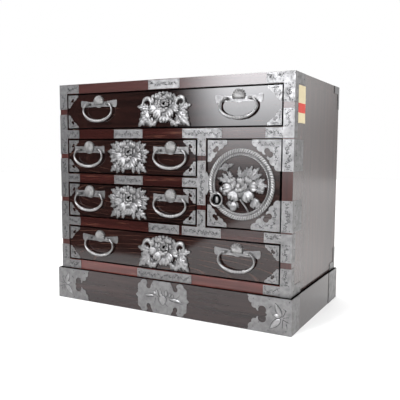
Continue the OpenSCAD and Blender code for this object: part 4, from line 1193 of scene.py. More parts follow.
@dataclass
class Shell:
    """The fluted shell over a bail's plate."""

    drawer: str
    side: str
    finishes: Finishes
    form: ShellForm = field(init=False)
    rise: float = 5.8
    rim: float = 1.2
    back: float = 0.6
    root_drop: float = 4.0
    notch: float = 0.06
    crown: float = 6.0
    rings: int = 16
    steps: int = 144

    def __post_init__(self) -> None:
        """Chooses the fan of the wide drawers or the knob of the small ones."""
        self.form = FAN if self.drawer in WIDE_DRAWERS else KNOB

    def point(self, t: float, angle: float) -> Triple:
        """Gives one point of the shell, whose flutes spread from a root below its foot.

        Args:
            t: The share of the way out to the edge.
            angle: The direction from the shell's middle.

        Returns:
            The point in millimetres.
        """
        form = self.form
        across, up = form.radius * math.cos(angle), form.radius * math.sin(angle)
        spread = math.degrees(math.atan2(across, max(0.1, up + form.foot + self.root_drop)))
        groove = 0.5 - 0.5 * math.cos(math.radians(360 * spread / form.flute))
        edge = form.radius * (1 - self.notch * groove)
        if up < 0:
            edge = min(edge, form.foot * form.radius / -up)
        x, y = t * edge * math.cos(angle), t * edge * math.sin(angle)
        crown = (1 - min(1.0, t * edge / form.radius) ** self.crown) ** 0.5
        low = 1 - form.slope * (min(0.0, y) / form.foot) ** 2
        return (x, y, self.rim + self.rise * crown * low * (1 - form.depth * groove * t * t))

    def build(self) -> None:
        """Builds the shell over the plain dome of its plate."""
        pivot = joint_place(f"{self.drawer}_{self.side}_bail_swing")
        bm = shaped_disc(self.rings, self.steps, self.point, self.back)
        face = front_of(f"{self.drawer}_front")
        place = Facing.FRONT.at(Vector((pivot.x, face, pivot.z + self.form.lift * MM)))
        bmesh.ops.transform(bm, matrix=place @ Matrix.Scale(MM, 4), verts=bm.verts)
        place_piece(f"{self.drawer}_{self.side}_shell", bm, self.finishes.shell, self.drawer)


# Door


@dataclass(frozen=True)
class Roll:
    """One twisted roll of the door's band: its place from the band's rim, its size and its strands."""

    middle: float
    half_w: float
    rise: float
    strands: int


@dataclass(frozen=True)
class Stem:
    """A bowed stem of the door's peony that grows thinner towards its end, in millimetres."""

    start: Pair
    end: Pair
    radius: float
    height: float = 4.2
    bow: float = 2.0
    taper: float = 0.25
    steps: int = 10

    def point(self, t: float) -> Pair:
        """Gives the stem's place at a share of its length."""
        x, y = (a + (b - a) * t for a, b in zip(self.start, self.end))
        return (x + self.bow * math.sin(math.pi * t), y)

    def breadth(self, t: float) -> float:
        """Gives the stem's width at a share of its length."""
        return 2 * self.radius * (1 - self.taper * t)

    def draw(self, bm: BMesh, place: Matrix) -> None:
        """Draws the stem.

        Args:
            bm: The mesh under construction.
            place: The matrix of the ornament's middle.
        """
        part = bmesh.new()
        flat_rod(part, [self.point(k / self.steps) for k in range(self.steps + 1)], self.breadth, self.height, 10)
        stamp(bm, part, place @ Matrix.Scale(MM, 4))


DOOR_STEMS = (Stem((-2, -38), (25, -75), 3.6), Stem((-32, 14), (-42, 38), 2.0), Stem((-6, -30), (-18, -46), 2.0),
              Stem((24, -34), (33, -42), 2.0))


@dataclass
class DoorOrnament:
    """The round band of the door, the peony inside it, the rim of the keyhole and the pull ring on its seat.

    Attributes:
        finishes: The finishes.
        outer: The radius of the band.
        width: The width of the band.
        rolls: The band's rolls, from the inside.
        flat_t: The thickness of the band beside its rolls.
        steps: The number of faces round the band.
        roll_steps: The number of faces over a roll.
        twist: How far a strand runs round the band while it crosses its roll, in radians of its own wave.
        groove_depth: The depth of the grooves between the strands, as a share of the roll's rise.
        painted_shade_from: The share of that depth from which a groove is painted dark, as the shade at its bottom.
        key_share: The distance of the keyhole from the band's middle, as a share of its radius.
        seat_r: The radius of the pull ring's seat.
        seat_t: The thickness of that seat.
        seat_bevel: How far the seat's face is smaller than its foot.
        boss: The half sizes of the boss on the seat.
        wire: The radius of the pull ring's wire where it hangs.
        swell: How much thicker the wire is below.
    """

    finishes: Finishes
    outer: float = 93.3
    width: float = 18.6
    rolls: tuple[Roll, ...] = (Roll(-16.2, 2.4, 4.4, 78), Roll(-5.5, 5.4, 6.0, 84))
    flat_t: float = 1.5
    steps: int = 720
    roll_steps: int = 10
    twist: float = 1.2
    groove_depth: float = 0.7
    painted_shade_from: float = 0.72
    key_share: float = 0.641
    seat_r: float = 14.0
    seat_t: float = 6.2
    seat_bevel: float = 0.6
    boss: Triple = (5.2, 9.0, 1.6)
    wire: float = 2.0
    swell: float = 0.32

    def build(self) -> None:
        """Builds the band, the peony, the rim of the keyhole, the seat and the pull ring."""
        centre = middle("door_band")
        place = Facing.FRONT.at(Vector((centre.x, front_of("door_panel"), centre.z)))
        self.band(place)
        bm = bmesh.new()
        Spray(DOOR_PETALS).draw(bm, place)
        for stem in DOOR_STEMS:
            stem.draw(bm, place)
        place_piece("door_peony_relief", bm, self.finishes.relief, "door", ["door_peony"],
                    second=self.finishes.gap)
        self.key_rim(place)
        self.pull_seat()
        self.pull_ring()

    def profile(self) -> list[Pair]:
        """Gives the outline of the band's section, from its inner foot over the rolls to its outer foot.

        Returns:
            The points, each its distance from the rim and its height.
        """
        points = [(-self.width, 0.0), (-self.width, self.flat_t)]
        for roll in self.rolls:
            for k in range(self.roll_steps + 1):
                a = math.pi - math.pi * k / self.roll_steps
                points.append((roll.middle + roll.half_w * math.cos(a),
                               self.flat_t + (roll.rise - self.flat_t) * math.sin(a)))
        return points + [(0.0, self.flat_t), (0.0, 0.0)]

    def band(self, place: Matrix) -> None:
        """Spins the band and cuts the grooves between its strands, with painted shade at their bottom.

        Args:
            place: The matrix of the band's middle.
        """
        bm = bmesh.new()
        verts = [bm.verts.new((self.outer + x, 0, z)) for x, z in self.profile()]
        edges = [bm.edges.new(pair) for pair in zip(verts, verts[1:] + verts[:1])]
        bmesh.ops.spin(bm, geom=verts + edges, cent=(0, 0, 0), axis=(0, 0, 1), angle=2 * math.pi, steps=self.steps,
                       use_merge=True, use_duplicate=False)
        bmesh.ops.remove_doubles(bm, verts=bm.verts, dist=MERGE_MM)
        for face in bm.faces:
            # Painted shade on the deepest faces of the grooves.
            face.material_index = int(self.groove(face.calc_center_median())[0] > self.painted_shade_from)
        for vert in bm.verts:
            vert.co.z -= self.groove(vert.co)[1]
        bmesh.ops.transform(bm, matrix=place @ Matrix.Scale(MM, 4), verts=bm.verts)
        place_piece("door_wreath_band", bm, self.finishes.rope, "door", ["door_band"],
                    second=self.finishes.gap)

    def groove(self, spot: Vector) -> Pair:
        """Gives the depth of the grooves between the strands at a spot on the band.

        Args:
            spot: The spot, in millimetres from the band's middle.

        Returns:
            The depth as a share of the deepest, and in millimetres.
        """
        turn = math.atan2(spot.y, spot.x)
        for roll in self.rolls:
            off = (math.hypot(spot.x, spot.y) - self.outer - roll.middle) / roll.half_w
            if abs(off) < 0.98 and spot.z > self.flat_t:
                sunk = 1 - abs(math.sin(roll.strands * turn / 2 + self.twist * off))
                return sunk, self.groove_depth * (roll.rise - self.flat_t) * sunk ** 0.8 * (1 - off * off)
        return 0.0, 0.0

    def pull_seat(self) -> None:
        """Lays a round seat, painted black as the shade behind the pull ring, with a raised boss under the ring."""
        low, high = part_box("door_pull_ring")
        spot = Vector(((low.x + high.x) / 2, front_of("door_panel"), (low.z + high.z) / 2))
        place = Facing.FRONT.at(spot) @ Matrix.Scale(MM, 4)
        seat, boss = bmesh.new(), bmesh.new()
        bmesh.ops.create_cone(seat, cap_ends=True, segments=48, radius1=self.seat_r,
                              radius2=self.seat_r - self.seat_bevel, depth=self.seat_t)
        bmesh.ops.transform(seat, matrix=place @ Matrix.Translation((0, 0, self.seat_t / 2)), verts=seat.verts)
        bmesh.ops.create_icosphere(boss, subdivisions=3, radius=1.0)
        shape = Matrix.Translation((0, -1, self.seat_t)) @ Matrix.Diagonal((*self.boss, 1))
        bmesh.ops.transform(boss, matrix=place @ shape, verts=boss.verts)
        # The seat's black is painted shade behind the ring.
        place_piece("door_pull_seat", seat, self.finishes.black, "door", smooth=False)
        place_piece("door_pull_boss", boss, self.finishes.bright, "door")

    def pull_ring(self) -> None:
        """Draws the pull ring, thin where it hangs and thick below."""
        pivot = joint_place("door_pull_swing")
        low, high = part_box("door_pull_ring")
        r = (high.x - low.x) / 2 - self.wire * MM
        bm = bmesh.new()
        ring = bmesh.ops.create_circle(bm, cap_ends=False, radius=self.wire * MM, segments=16)["verts"]
        bmesh.ops.translate(bm, vec=(r, 0, 0), verts=ring)
        bmesh.ops.spin(bm, geom=ring + list(bm.edges), cent=(0, 0, 0), axis=(0, 1, 0), angle=2 * math.pi, steps=64,
                       use_merge=True, use_duplicate=False)
        bmesh.ops.remove_doubles(bm, verts=bm.verts, dist=MERGE_M)
        for vert in bm.verts:
            turn = math.atan2(vert.co.z, vert.co.x)
            heart = Vector((r * math.cos(turn), 0, r * math.sin(turn)))
            vert.co = heart + (vert.co - heart) * (1 + self.swell * (0.5 - 0.5 * math.sin(turn)) ** 0.7)
        bmesh.ops.translate(bm, vec=(pivot.x, pivot.y, pivot.z - r), verts=bm.verts)
        place_piece("door_pull_forged", bm, self.finishes.bright, "door_pull", ["door_pull_ring"])

    def key_rim(self, place: Matrix) -> None:
        """Lays a thin black rim round the door's keyhole.

        Args:
            place: The matrix of the band's middle.
        """
        bm = bmesh.new()
        spot = Matrix.Translation((-self.key_share * self.outer * MM, 0, 0))
        KeyRim(outer=5.4, height=0.4, hole=3.3, slot_w=2.5, slot_l=9.1).draw(bm, place @ spot)
        place_piece("door_key_rim", bm, self.finishes.black, "door")


# Chasing and nails


@dataclass(frozen=True)
class Arm:
    """One straight stretch of a plate that is chased from end to end, in metres on its own side."""

    body: str
    facing: Facing
    start: Vector
    end: Vector
    half_w: float
    nails: bool = True


@dataclass(frozen=True)
class Mark:
    """One kind of cut that is scattered along a stem, in millimetres and degrees.

    Attributes:
        mesh: The cut, springing from its origin.
        reach: How far it reaches from there.
        gaps: The least and the greatest distance to the next one.
        leans: The least and the greatest lean from the stem.
        either_way: Whether it curls either way.
    """

    mesh: Mesh
    reach: float
    gaps: Pair
    leans: Pair
    either_way: bool


@dataclass(frozen=True)
class Wave:
    """The winding of one stem: its height, its beat in radians to a millimetre, its start, and a finer winding."""

    height: float
    beat: float
    phase: float
    finer: float = 0.5
    finer_beat: float = 2.37

    def at(self, x: float) -> float:
        """Gives the stem's height at a distance along its arm."""
        second = self.finer * math.sin(self.finer_beat * self.beat * x)
        return self.height * (math.sin(self.beat * x + self.phase) + second)


# A corner plate as shares of its arms' length: the middle line's distance from the edge and the line's two ends,
# half the width of an arm, and the places of the nails
CORNER_ARMS = (0.14, 0.16, 0.84)
CORNER_HALF = 0.15
CORNER_NAILS = ((0.08, 0.08), (0.9, 0.07), (0.07, 0.9), (0.5, 0.07), (0.07, 0.5))


@dataclass
class Chasing:
    """The cut scrolls and the nails of the plates, gathered for each body.

    Attributes:
        finishes: The finishes.
        rng: The source of the irregular places.
        cuts: The cuts on each body.
        studs: The nails' heads on each body.
        marks: The cuts that are scattered along the stems.
        stud: A nail's head.
        inset: The distance of a stem from the ends of its arm.
        edge: The distance that the cuts keep from the plate's edges.
        fits: The half width of a plate on which the cuts have their full size.
        largest: The largest size of the cuts.
        sway: The stem's height as a share of the plate's half width.
        half_beat: The least and the greatest length of half a wave.
        step: The length of one stretch of a stem.
        stem: The width and the height of a stem.
        first: The least and the greatest distance of the first cut from the stem's start.
        last: The distance of the last cut from the stem's end.
        grown: The least and the greatest size of a cut as a share of the full size.
        depth: The height of the cuts.
        nail_in: The distance of an arm's nails from its ends and its edges.
    """

    finishes: Finishes
    rng: random.Random = field(default_factory=lambda: random.Random(SEED))
    cuts: dict[str, BMesh] = field(default_factory=dict)
    studs: dict[str, BMesh] = field(default_factory=dict)
    marks: tuple[Mark, ...] = field(init=False)
    stud: Mesh = field(init=False)
    inset: float = 3.0
    edge: float = 0.8
    fits: float = 9.0
    largest: float = 1.15
    sway: float = 0.24
    half_beat: Pair = (12.0, 17.0)
    step: float = 1.5
    stem: Pair = (0.7, 0.2)
    first: Pair = (1.0, 5.0)
    last: float = 3.0
    grown: Pair = (0.55, 1.15)
    depth: float = 0.22
    nail_in: Pair = (3.6, 4.0)

    def __post_init__(self) -> None:
        """Builds the marks that are repeated."""
        coil, lobe, stud = bmesh.new(), bmesh.new(), bmesh.new()
        points = []
        radius, shrink, turn = 3.6, 0.8, 6.6
        for t in (k / 14 for k in range(15)):
            r = radius * (1 - shrink * t)
            points.append((r * math.sin(turn * t), radius - r * math.cos(turn * t)))
        flat_rod(coil, points, lambda t: 1.25 - 0.5 * t, self.depth, 4)
        length, rise = 5.0, 1.1
        bow = [(length * t, rise * math.sin(math.pi * t)) for t in (k / 6 for k in range(7))]
        flat_rod(lobe, bow, lambda t: 0.3 + 1.2 * math.sin(math.pi * min(1.0, 1.15 * t)) ** 0.8, self.depth, 4)
        self.marks = (Mark(as_mesh(coil, "coil"), 7.6, (5.0, 9.0), (-35, 35), True),
                      Mark(as_mesh(lobe, "lobe"), 5.2, (2.4, 4.6), (25, 155), False))
        bmesh.ops.create_icosphere(stud, subdivisions=2, radius=1.0)
        bmesh.ops.transform(stud, matrix=Matrix.Diagonal((1.5, 1.5, 0.9, 1)), verts=stud.verts)
        self.stud = as_mesh(stud, "stud")

    def store(self, kind: dict[str, BMesh], body: str) -> BMesh:
        """Gives the mesh that gathers one kind of mark on a body."""
        return kind[body] if body in kind else kind.setdefault(body, bmesh.new())

    def nail(self, body: str, facing: Facing, spot: Vector, size: float = 1.0) -> None:
        """Sets one nail's head on a plate."""
        add_mesh(self.store(self.studs, body), self.stud, facing.at(spot) @ Matrix.Scale(size * MM, 4))

    def chase(self, arm: Arm) -> None:
        """Cuts a winding stem with curls and lobes along an arm, and sets a nail in each of its corners.

        Args:
            arm: The arm.
        """
        bm = self.store(self.cuts, arm.body)
        lay = arm.facing.at(arm.start)
        flat = lay.inverted() @ arm.end
        length = math.hypot(flat.x, flat.y) / MM
        place = lay @ Matrix.Rotation(math.atan2(flat.y, flat.x), 4, "Z") @ Matrix.Scale(MM, 4)
        half = arm.half_w / MM
        size = min(self.largest, half / self.fits)
        wave = Wave(self.sway * half, math.pi / (self.rng.uniform(*self.half_beat) * size), self.rng.uniform(0, 6.28))
        steps = max(8, round(length / self.step))
        spots = (self.inset + (length - 2 * self.inset) * k / steps for k in range(steps + 1))
        part = bmesh.new()
        flat_rod(part, [(x, wave.at(x)) for x in spots], lambda t: self.stem[0], self.stem[1], 4)
        stamp(bm, part, place)
        for mark in self.marks:
            x = self.inset + self.rng.uniform(*self.first)
            while x < length - self.inset - self.last:
                y = wave.at(x)
                up = self.rng.choice((1, -1))
                grown = min(size * self.rng.uniform(*self.grown), (half - self.edge - y * up) / mark.reach)
                turned = Matrix.Rotation(math.radians(up * self.rng.uniform(*mark.leans)), 4, "Z")
                way = self.rng.choice((1, -1)) if mark.either_way else 1
                spot = place @ Matrix.Translation((x, y, 0)) @ turned
                add_mesh(bm, mark.mesh, spot @ Matrix.Diagonal((way * grown, up * grown, grown, 1)))
                x += self.rng.uniform(*mark.gaps) * size
        along, in_y = self.nail_in
        for x, y in ((x, y) for x in (along, length - along) for y in (half - in_y, in_y - half) if arm.nails):
            self.nail(arm.body, arm.facing, place @ Vector((x, y, 0)))

    def corner(self, body: str, facing: Facing, spot: Vector, out: tuple[int, int], size: float) -> None:
        """Chases the two arms of a corner plate and nails its corner and its ends.

        Args:
            body: The body that the plate is on.
            facing: The side that it is on.
            spot: Its outer corner, on its face.
            out: The directions from that corner along its arms, each 1 or -1.
            size: The length of its arms in metres.
        """
        lay = facing.at(spot)
        off, near, far = (share * size for share in CORNER_ARMS)
        for a, b in (((near, off), (far, off)), ((off, near), (off, far))):
            start, end = (lay @ Vector((out[0] * p[0], out[1] * p[1], 0)) for p in (a, b))
            self.chase(Arm(body, facing, start, end, CORNER_HALF * size, False))
        for x, y in CORNER_NAILS:
            self.nail(body, facing, lay @ Vector((out[0] * x * size, out[1] * y * size, 0)), 0.7)

    def finish(self) -> None:
        """Makes one piece of all the cuts on a body, and one of all its nails."""
        for body, bm in self.cuts.items():
            place_piece(f"{body}_chasing", bm, self.finishes.groove, body)
        for body, bm in self.studs.items():
            place_piece(f"{body}_nails", bm, self.finishes.nail, body)


@dataclass
class BodyIronwork:
    """The chased plates on the front and the sides of the body.

    Attributes:
        chasing: The chasing and the nails.
        reach: How far an arm reaches from the middle of its joint.
        column_half: Half the width of the columns' plates.
        rail_half: Half the length of the plates in the middle of the rails.
        bottom_half: Half the length of the plate in the middle of the bottom board.
        wrap_d: How far the columns' plates reach onto the sides.
        corner_arm: The length of the corner plates' arms on the sides.
        hinge_d: How far the hinges' plates reach onto the side.
        wrap_nails_at: The heights of the nails on the sides, as shares of the reach.
        hinge_nails_at: The nails of a hinge's plate, as shares of its depth and its height.
    """

    chasing: Chasing
    reach: float = 0.0595
    column_half: float = 0.0125
    rail_half: float = 0.05
    bottom_half: float = 0.09
    wrap_d: float = 0.025
    corner_arm: float = 0.075
    hinge_d: float = 0.078
    wrap_nails_at: tuple[float, ...] = (-0.85, -0.45, 0.0, 0.45, 0.85)
    hinge_nails_at: tuple[Pair, ...] = ((0.25, 0.15), (0.25, 0.5), (0.25, 0.85), (0.85, 0.2), (0.85, 0.8))

    def build(self) -> None:
        """Chases the plates of the columns, rails and partition, and nails them."""
        levels = [middle(n).z for n in ("top_board", "upper_rail", "middle_rail", "lower_rail", "bottom_board")]
        column = middle("right_side").x
        for side in (1, -1):
            for level, z in enumerate(levels):
                self.tee(side, level, side * column, z)
        self.rails(levels)
        low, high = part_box("hinge_door_leaves")
        height = (high.z - low.z) * HINGE_SHARE
        for z in (low.z, high.z - height):
            self.upright(column, z, z + height)
            self.hinge_nails(z, z + height)
        for level, z in enumerate(levels):
            self.wrap_nails(z, level)

    def tee(self, side: int, level: int, x: float, z: float) -> None:
        """Chases the arms of one joint of a column, without those that give way to the door's hinges.

        Args:
            side: 1 for the right column and -1 for the left.
            level: The joint's place from the top, from 0 to 4.
            x: The column's middle line.
            z: The joint's height.
        """
        if side == 1 and level == 2:
            return
        ends = (x - side * self.reach, x - side * self.column_half)
        self.across(min(ends), max(ends), z)
        if level > 0 and (side, level) != (1, 3):
            self.upright(x, z + self.column_half, z + self.reach)
        if level < 4 and (side, level) != (1, 1):
            self.upright(x, z - self.reach, z - self.column_half)

    def rails(self, levels: Sequence[float]) -> None:
        """Chases the plates in the middle of the rails and those of the partition.

        Args:
            levels: The heights of the boards and rails, from the top.
        """
        top, upper, centre, lower, bottom = levels
        part, small = middle("centre_partition").x, middle("upper_drawer_front").x
        for x, z in ((0.0, top), (small, upper), (small, centre), (0.0, lower)):
            self.across(x - self.rail_half, x + self.rail_half, z)
        self.across(-self.bottom_half, self.bottom_half, bottom)
        for z in (upper, lower):
            self.across(part - self.reach, part + self.reach, z)
        self.across(part - self.reach, part - self.column_half, centre)
        self.upright(part, upper - self.reach, upper - self.column_half)
        self.upright(part, centre - self.reach, centre + self.reach)
        self.upright(part, lower + self.column_half, lower + self.reach)

    def across(self, x0: float, x1: float, z: float) -> None:
        """Chases a level plate of the body between two places."""
        self.arm(Vector((x0, 0, z)), Vector((x1, 0, z)))

    def upright(self, x: float, z0: float, z1: float) -> None:
        """Chases an upright plate of the body between two heights."""
        self.arm(Vector((x, 0, z0)), Vector((x, 0, z1)))

    def arm(self, start: Vector, end: Vector) -> None:
        """Chases one arm on the front of the body."""
        start.y = end.y = front_of("right_side") - PLATE_T
        self.chasing.chase(Arm("carcass", Facing.FRONT, start, end, self.column_half))

    def hinge_nails(self, z0: float, z1: float) -> None:
        """Sets the nails of a hinge's plate on the right side.

        Args:
            z0: The plate's foot.
            z1: The plate's top.
        """
        low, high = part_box("right_side")
        for back, up in self.hinge_nails_at:
            spot = Vector((high.x + PLATE_T, low.y + back * self.hinge_d, z0 + up * (z1 - z0)))
            self.chasing.nail("carcass", Facing.RIGHT, spot)

    def wrap_nails(self, z: float, level: int) -> None:
        """Sets the nails of the columns' plates on both sides at one joint.

        Args:
            z: The joint's height.
            level: The joint's place from the top, from 0 to 4.
        """
        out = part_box("right_side")[1].x + PLATE_T
        y = front_of("right_side") + 0.7 * self.wrap_d
        for side, facing in ((1, Facing.RIGHT), (-1, Facing.LEFT)):
            if side == 1 and level == 2:
                continue
            for rise in self.wrap_nails_at:
                if not (level == 0 and rise > 0) and not (level == 4 and rise < 0):
                    self.chasing.nail("carcass", facing, Vector((side * out, y, z + rise * self.reach)))
            if level in (0, 4):
                back = y - 0.7 * self.wrap_d + 0.9 * self.corner_arm
                self.chasing.nail("carcass", facing, Vector((side * out, back, z)))


@dataclass
class FrontIronwork:
    """The chased corner plates of the drawers, the door and its hinges."""

    chasing: Chasing
    edge: float = 0.0025
    drawer_size: float = 0.038
    door_size: float = 0.057

    def build(self) -> None:
        """Chases every corner plate, from the corners of the fronts inwards."""
        for drawer in DRAWERS:
            self.corners(drawer, f"{drawer}_front", {1: self.drawer_size, -1: self.drawer_size})
        low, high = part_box("hinge_door_leaves")
        self.corners("door", "door_panel", {1: self.door_size, -1: (high.z - low.z) * HINGE_SHARE})

    def corners(self, body: str, front: str, sizes: dict[int, float]) -> None:
        """Chases the four corner plates of a front.

        Args:
            body: The body that they move with.
            front: The solid of the front.
            sizes: The size of the plates on the left side, under 1, and on the right, under -1.
        """
        low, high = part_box(front)
        for sx, size in sizes.items():
            for sz in (1, -1):
                x = low.x + self.edge if sx == 1 else high.x - self.edge
                z = low.z + self.edge if sz == 1 else high.z - self.edge
                self.chasing.corner(body, Facing.FRONT, Vector((x, low.y - PLATE_T, z)), (sx, sz), size)


@dataclass(frozen=True)
class Blade:
    """One leaf or bud of a plinth spray in millimetres from its root; with no width it is a cut line alone."""

    x: float
    y: float
    turn: float
    length: float
    width: float
    bend: float = 0.0
    steps: int = 16

    def place(self) -> Matrix:
        """Gives the matrix of the leaf's foot."""
        return Matrix.Translation((self.x, self.y, 0)) @ Matrix.Rotation(math.radians(self.turn), 4, "Z")

    def side(self, way: int) -> list[Pair]:
        """Gives the points of one of its sides.

        Args:
            way: 1 for its left side and -1 for its right.

        Returns:
            The points, from its foot to its tip.
        """
        points = []
        for t in (k / self.steps for k in range(self.steps + 1)):
            half = 0.5 * self.width * math.sin(math.pi * t ** 0.8) ** 0.8
            points.append((self.length * t, way * half + self.bend * t * t))
        return points


MIDDLE_SPRAY = (
    Blade(-26, 3, 178, 32, 9, 1), Blade(26, 0, -4, 40, 9, -2), Blade(-19, 7, 136, 14, 9), Blade(-14, 2, 98, 24, 8, 2),
    Blade(-5, 5, 94, 21, 7, -2), Blade(1, -2, 100, 15, 10), Blade(13, 5, 82, 20, 10), Blade(23, 4, 62, 15, 7),
    Blade(34, 4, 74, 11, 7), Blade(3, 8, -90, 30, 26), Blade(-20, -2, -108, 16, 0, 2), Blade(26, -4, -9, 44, 0),
    Blade(8, -12, -50, 16, 0, 3), Blade(-34, 0, 196, 20, 0, -2), Blade(48, 4, 30, 16, 0, 4),
)
CORNER_SPRAY = (
    Blade(-1, 3, 121, 37, 14, -3), Blade(-4, 2, 168, 18, 11), Blade(-3, -3, 222, 40, 16, 2),
    Blade(3, -5, -98, 20, 0, 2), Blade(2, 3, 54, 20, 0, 4), Blade(4, 0, 28, 16, 0, -4), Blade(3, -3, -34, 18, 0, 4),
    Blade(12, 18, 120, 9, 0, 4), Blade(12, -14, -60, 12, 0, -4), Blade(-34, 22, 30, 8, 0, 2),
)


@dataclass
class PlinthIronwork:
    """The raised and outlined leaf sprays and the nails on the plates of the plinth, in millimetres.

    Attributes:
        finishes: The finishes.
        chasing: The chasing and the nails.
        rise: How far the leaves stand out.
        line_w: The width of their outlines at the foot.
        line_h: The height of their outlines.
        taper: How much thinner an outline is at the tip.
        root: The distance of a corner spray's root from the plinth's end.
        drop: How far that root lies below the plate's middle.
        corner_nails: The nails of a corner plate, from the plinth's end and the plate's middle.
        end_nails: The nails on the plinth's end, from its front and the plate's middle.
        middle_nails: The nails on each half of the middle plate, from its middle.
    """

    finishes: Finishes
    chasing: Chasing
    rise: float = 1.5
    line_w: float = 1.7
    line_h: float = 0.6
    taper: float = 0.45
    root: float = 26.0
    drop: float = 3.0
    corner_nails: tuple[Pair, ...] = ((6, 40), (14, -36), (60, 41), (62, -40), (104, 38), (104, -36),
                                                     (50, 2), (88, -22), (88, 20))
    end_nails: tuple[Pair, ...] = ((8, 40), (8, 0), (8, -40), (54, 40), (54, -40), (54, 0))
    middle_nails: tuple[Pair, ...] = ((60, 36), (60, -36), (18, -38), (30, 34))

    def build(self) -> None:
        """Builds the sprays in the middle and on both corners, and sets the nails."""
        low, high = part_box("plinth_plates")
        face, mid_z = low.y, (low.z + high.z) / 2
        bm = bmesh.new()
        self.spray(bm, MIDDLE_SPRAY, Facing.FRONT.at(Vector((0, face, mid_z))))
        for side in (1, -1):
            place = Facing.FRONT.at(Vector((side * (high.x - self.root * MM), face, mid_z - self.drop * MM)))
            self.spray(bm, CORNER_SPRAY, place @ Matrix.Diagonal((side, 1, 1, 1)))
        place_piece("plinth_sprays", bm, self.finishes.bright, "carcass")
        end = high.x - 0.95 * MM
        for side, facing in ((1, Facing.RIGHT), (-1, Facing.LEFT)):
            spots = [(Facing.FRONT, (side * (high.x - dx * MM), face, mid_z + dz * MM)) for dx, dz in self.corner_nails]
            spots += [(facing, (side * end, face + (dy + 1.2) * MM, mid_z + dz * MM)) for dy, dz in self.end_nails]
            spots += [(Facing.FRONT, (side * dx * MM, face, mid_z + dz * MM)) for dx, dz in self.middle_nails]
            for way, spot in spots:
                self.chasing.nail("carcass", way, Vector(spot))

    def spray(self, bm: BMesh, blades: Sequence[Blade], place: Matrix) -> None:
        """Draws the raised leaves of one spray and cuts their outlines.

        Args:
            bm: The mesh of the raised leaves.
            blades: The leaves.
            place: The matrix of the spray's root.
        """
        raised = [Petal(BLADE, b.x, b.y, b.turn, b.length, b.width, self.rise, b.bend) for b in blades if b.width]
        Spray(raised).draw(bm, place)
        cuts = self.chasing.store(self.chasing.cuts, "carcass")
        for blade in blades:
            for way in (1, -1) if blade.width else (1,):
                part = bmesh.new()
                flat_rod(part, blade.side(way), lambda t: self.line_w * (1 - self.taper * t), self.line_h, 6)
                stamp(cuts, part, place @ Matrix.Scale(MM, 4) @ blade.place())


@dataclass
class PaperSlip:
    """The plain paper slip on the right side of the body."""

    front_gap: float = 0.028
    width: float = 0.055
    low_z: float = 0.534
    high_z: float = 0.627
    red_low: float = 0.559
    red_high: float = 0.583
    lift: float = 0.0003
    buckle: float = 0.0001
    thickness: float = 0.0002

    def build(self) -> None:
        """Builds the slip, slightly buckled."""
        low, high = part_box("right_side")
        bm = bmesh.new()
        bmesh.ops.create_grid(bm, x_segments=10, y_segments=16, size=0.5)
        tall = self.high_z - self.low_z
        for vert in bm.verts:
            u, v = vert.co.x + 0.5, vert.co.y + 0.5
            lift = self.lift + self.buckle * math.sin(9 * v + 2 * u)
            vert.co = Vector((high.x + lift, low.y + self.front_gap + u * self.width, self.low_z + v * tall))
        bmesh.ops.solidify(bm, geom=bm.faces, thickness=self.thickness)
        slip = Paper("paper_slip_finish", (0.72, 0.62, 0.4), (0.62, 0.07, 0.05), self.red_low, self.red_high)
        place_piece("paper_slip", bm, slip.material(), "carcass", smooth=False)


# Solids that stay


@dataclass
class PlainParts:
    """The solids that are shown as they are, each with its finish."""

    finishes: Finishes

    def dress(self) -> None:
        """Puts a finish on every solid, whether it is shown or stood for."""
        f = self.finishes
        wanted = {
            "top_board": f.top, "bottom_board": f.foot, "left_side": f.sides, "right_side": f.sides,
            "back_panel": f.back, "dust_panels": f.back, "plinth_frame": f.plinth, "centre_partition": f.posts,
            "upper_rail": f.rails, "middle_rail": f.rails, "lower_rail": f.rails, "door_panel": f.door,
            "door_lock": f.plate, "door_bolt": f.bright, "door_pull_ring": f.bright,
            "hinge_door_leaves": f.hinge, "hinge_frame_leaves": f.hinge,
        }
        for name, node in frame["nodes"].items():
            material = wanted.get(name, f.plate)
            if name.endswith("_tray"):
                material = f.trays
            elif name.endswith("_drawer_front"):
                material = f.fronts[name[:-len("_front")]]
            elif name.endswith("_lock_case"):
                material = f.cased
            elif name.endswith(("_bolt", "_bail", "_lock_plate", "_peony", "_band")):
                material = f.bright
            node.data.materials.clear()
            node.data.materials.append(material)
            LOG.info("%s: %s", name, material.name)


# Studio


def stage_sheet(name: str, bm: BMesh, material: Material) -> Object:
    """Makes a flat piece of the studio, which isn't part of the chest.

    Args:
        name: The piece's name.
        bm: Its mesh, already in place.
        material: Its finish.

    Returns:
        The piece.
    """
    mesh = bpy.data.meshes.new(name)
    bm.to_mesh(mesh)
    bm.free()
    mesh.materials.append(material)
    piece = bpy.data.objects.new(name, mesh)
    bpy.context.scene.collection.objects.link(piece)
    return piece


@dataclass(frozen=True)
class SoftLight:
    """One soft light: its place, what it looks at, its size in metres and its power in watts."""

    name: str
    place: Vector
    target: Vector
    size: Pair
    power: float

    def build(self) -> None:
        """Hangs the light."""
        light = bpy.data.lights.new(self.name, "AREA")
        light.shape = "RECTANGLE"
        light.size, light.size_y = self.size
        light.energy = self.power
        lamp = bpy.data.objects.new(self.name, light)
        lamp.location = self.place
        lamp.rotation_euler = (self.target - self.place).to_track_quat("-Z", "Y").to_euler()
        bpy.context.scene.collection.objects.link(lamp)


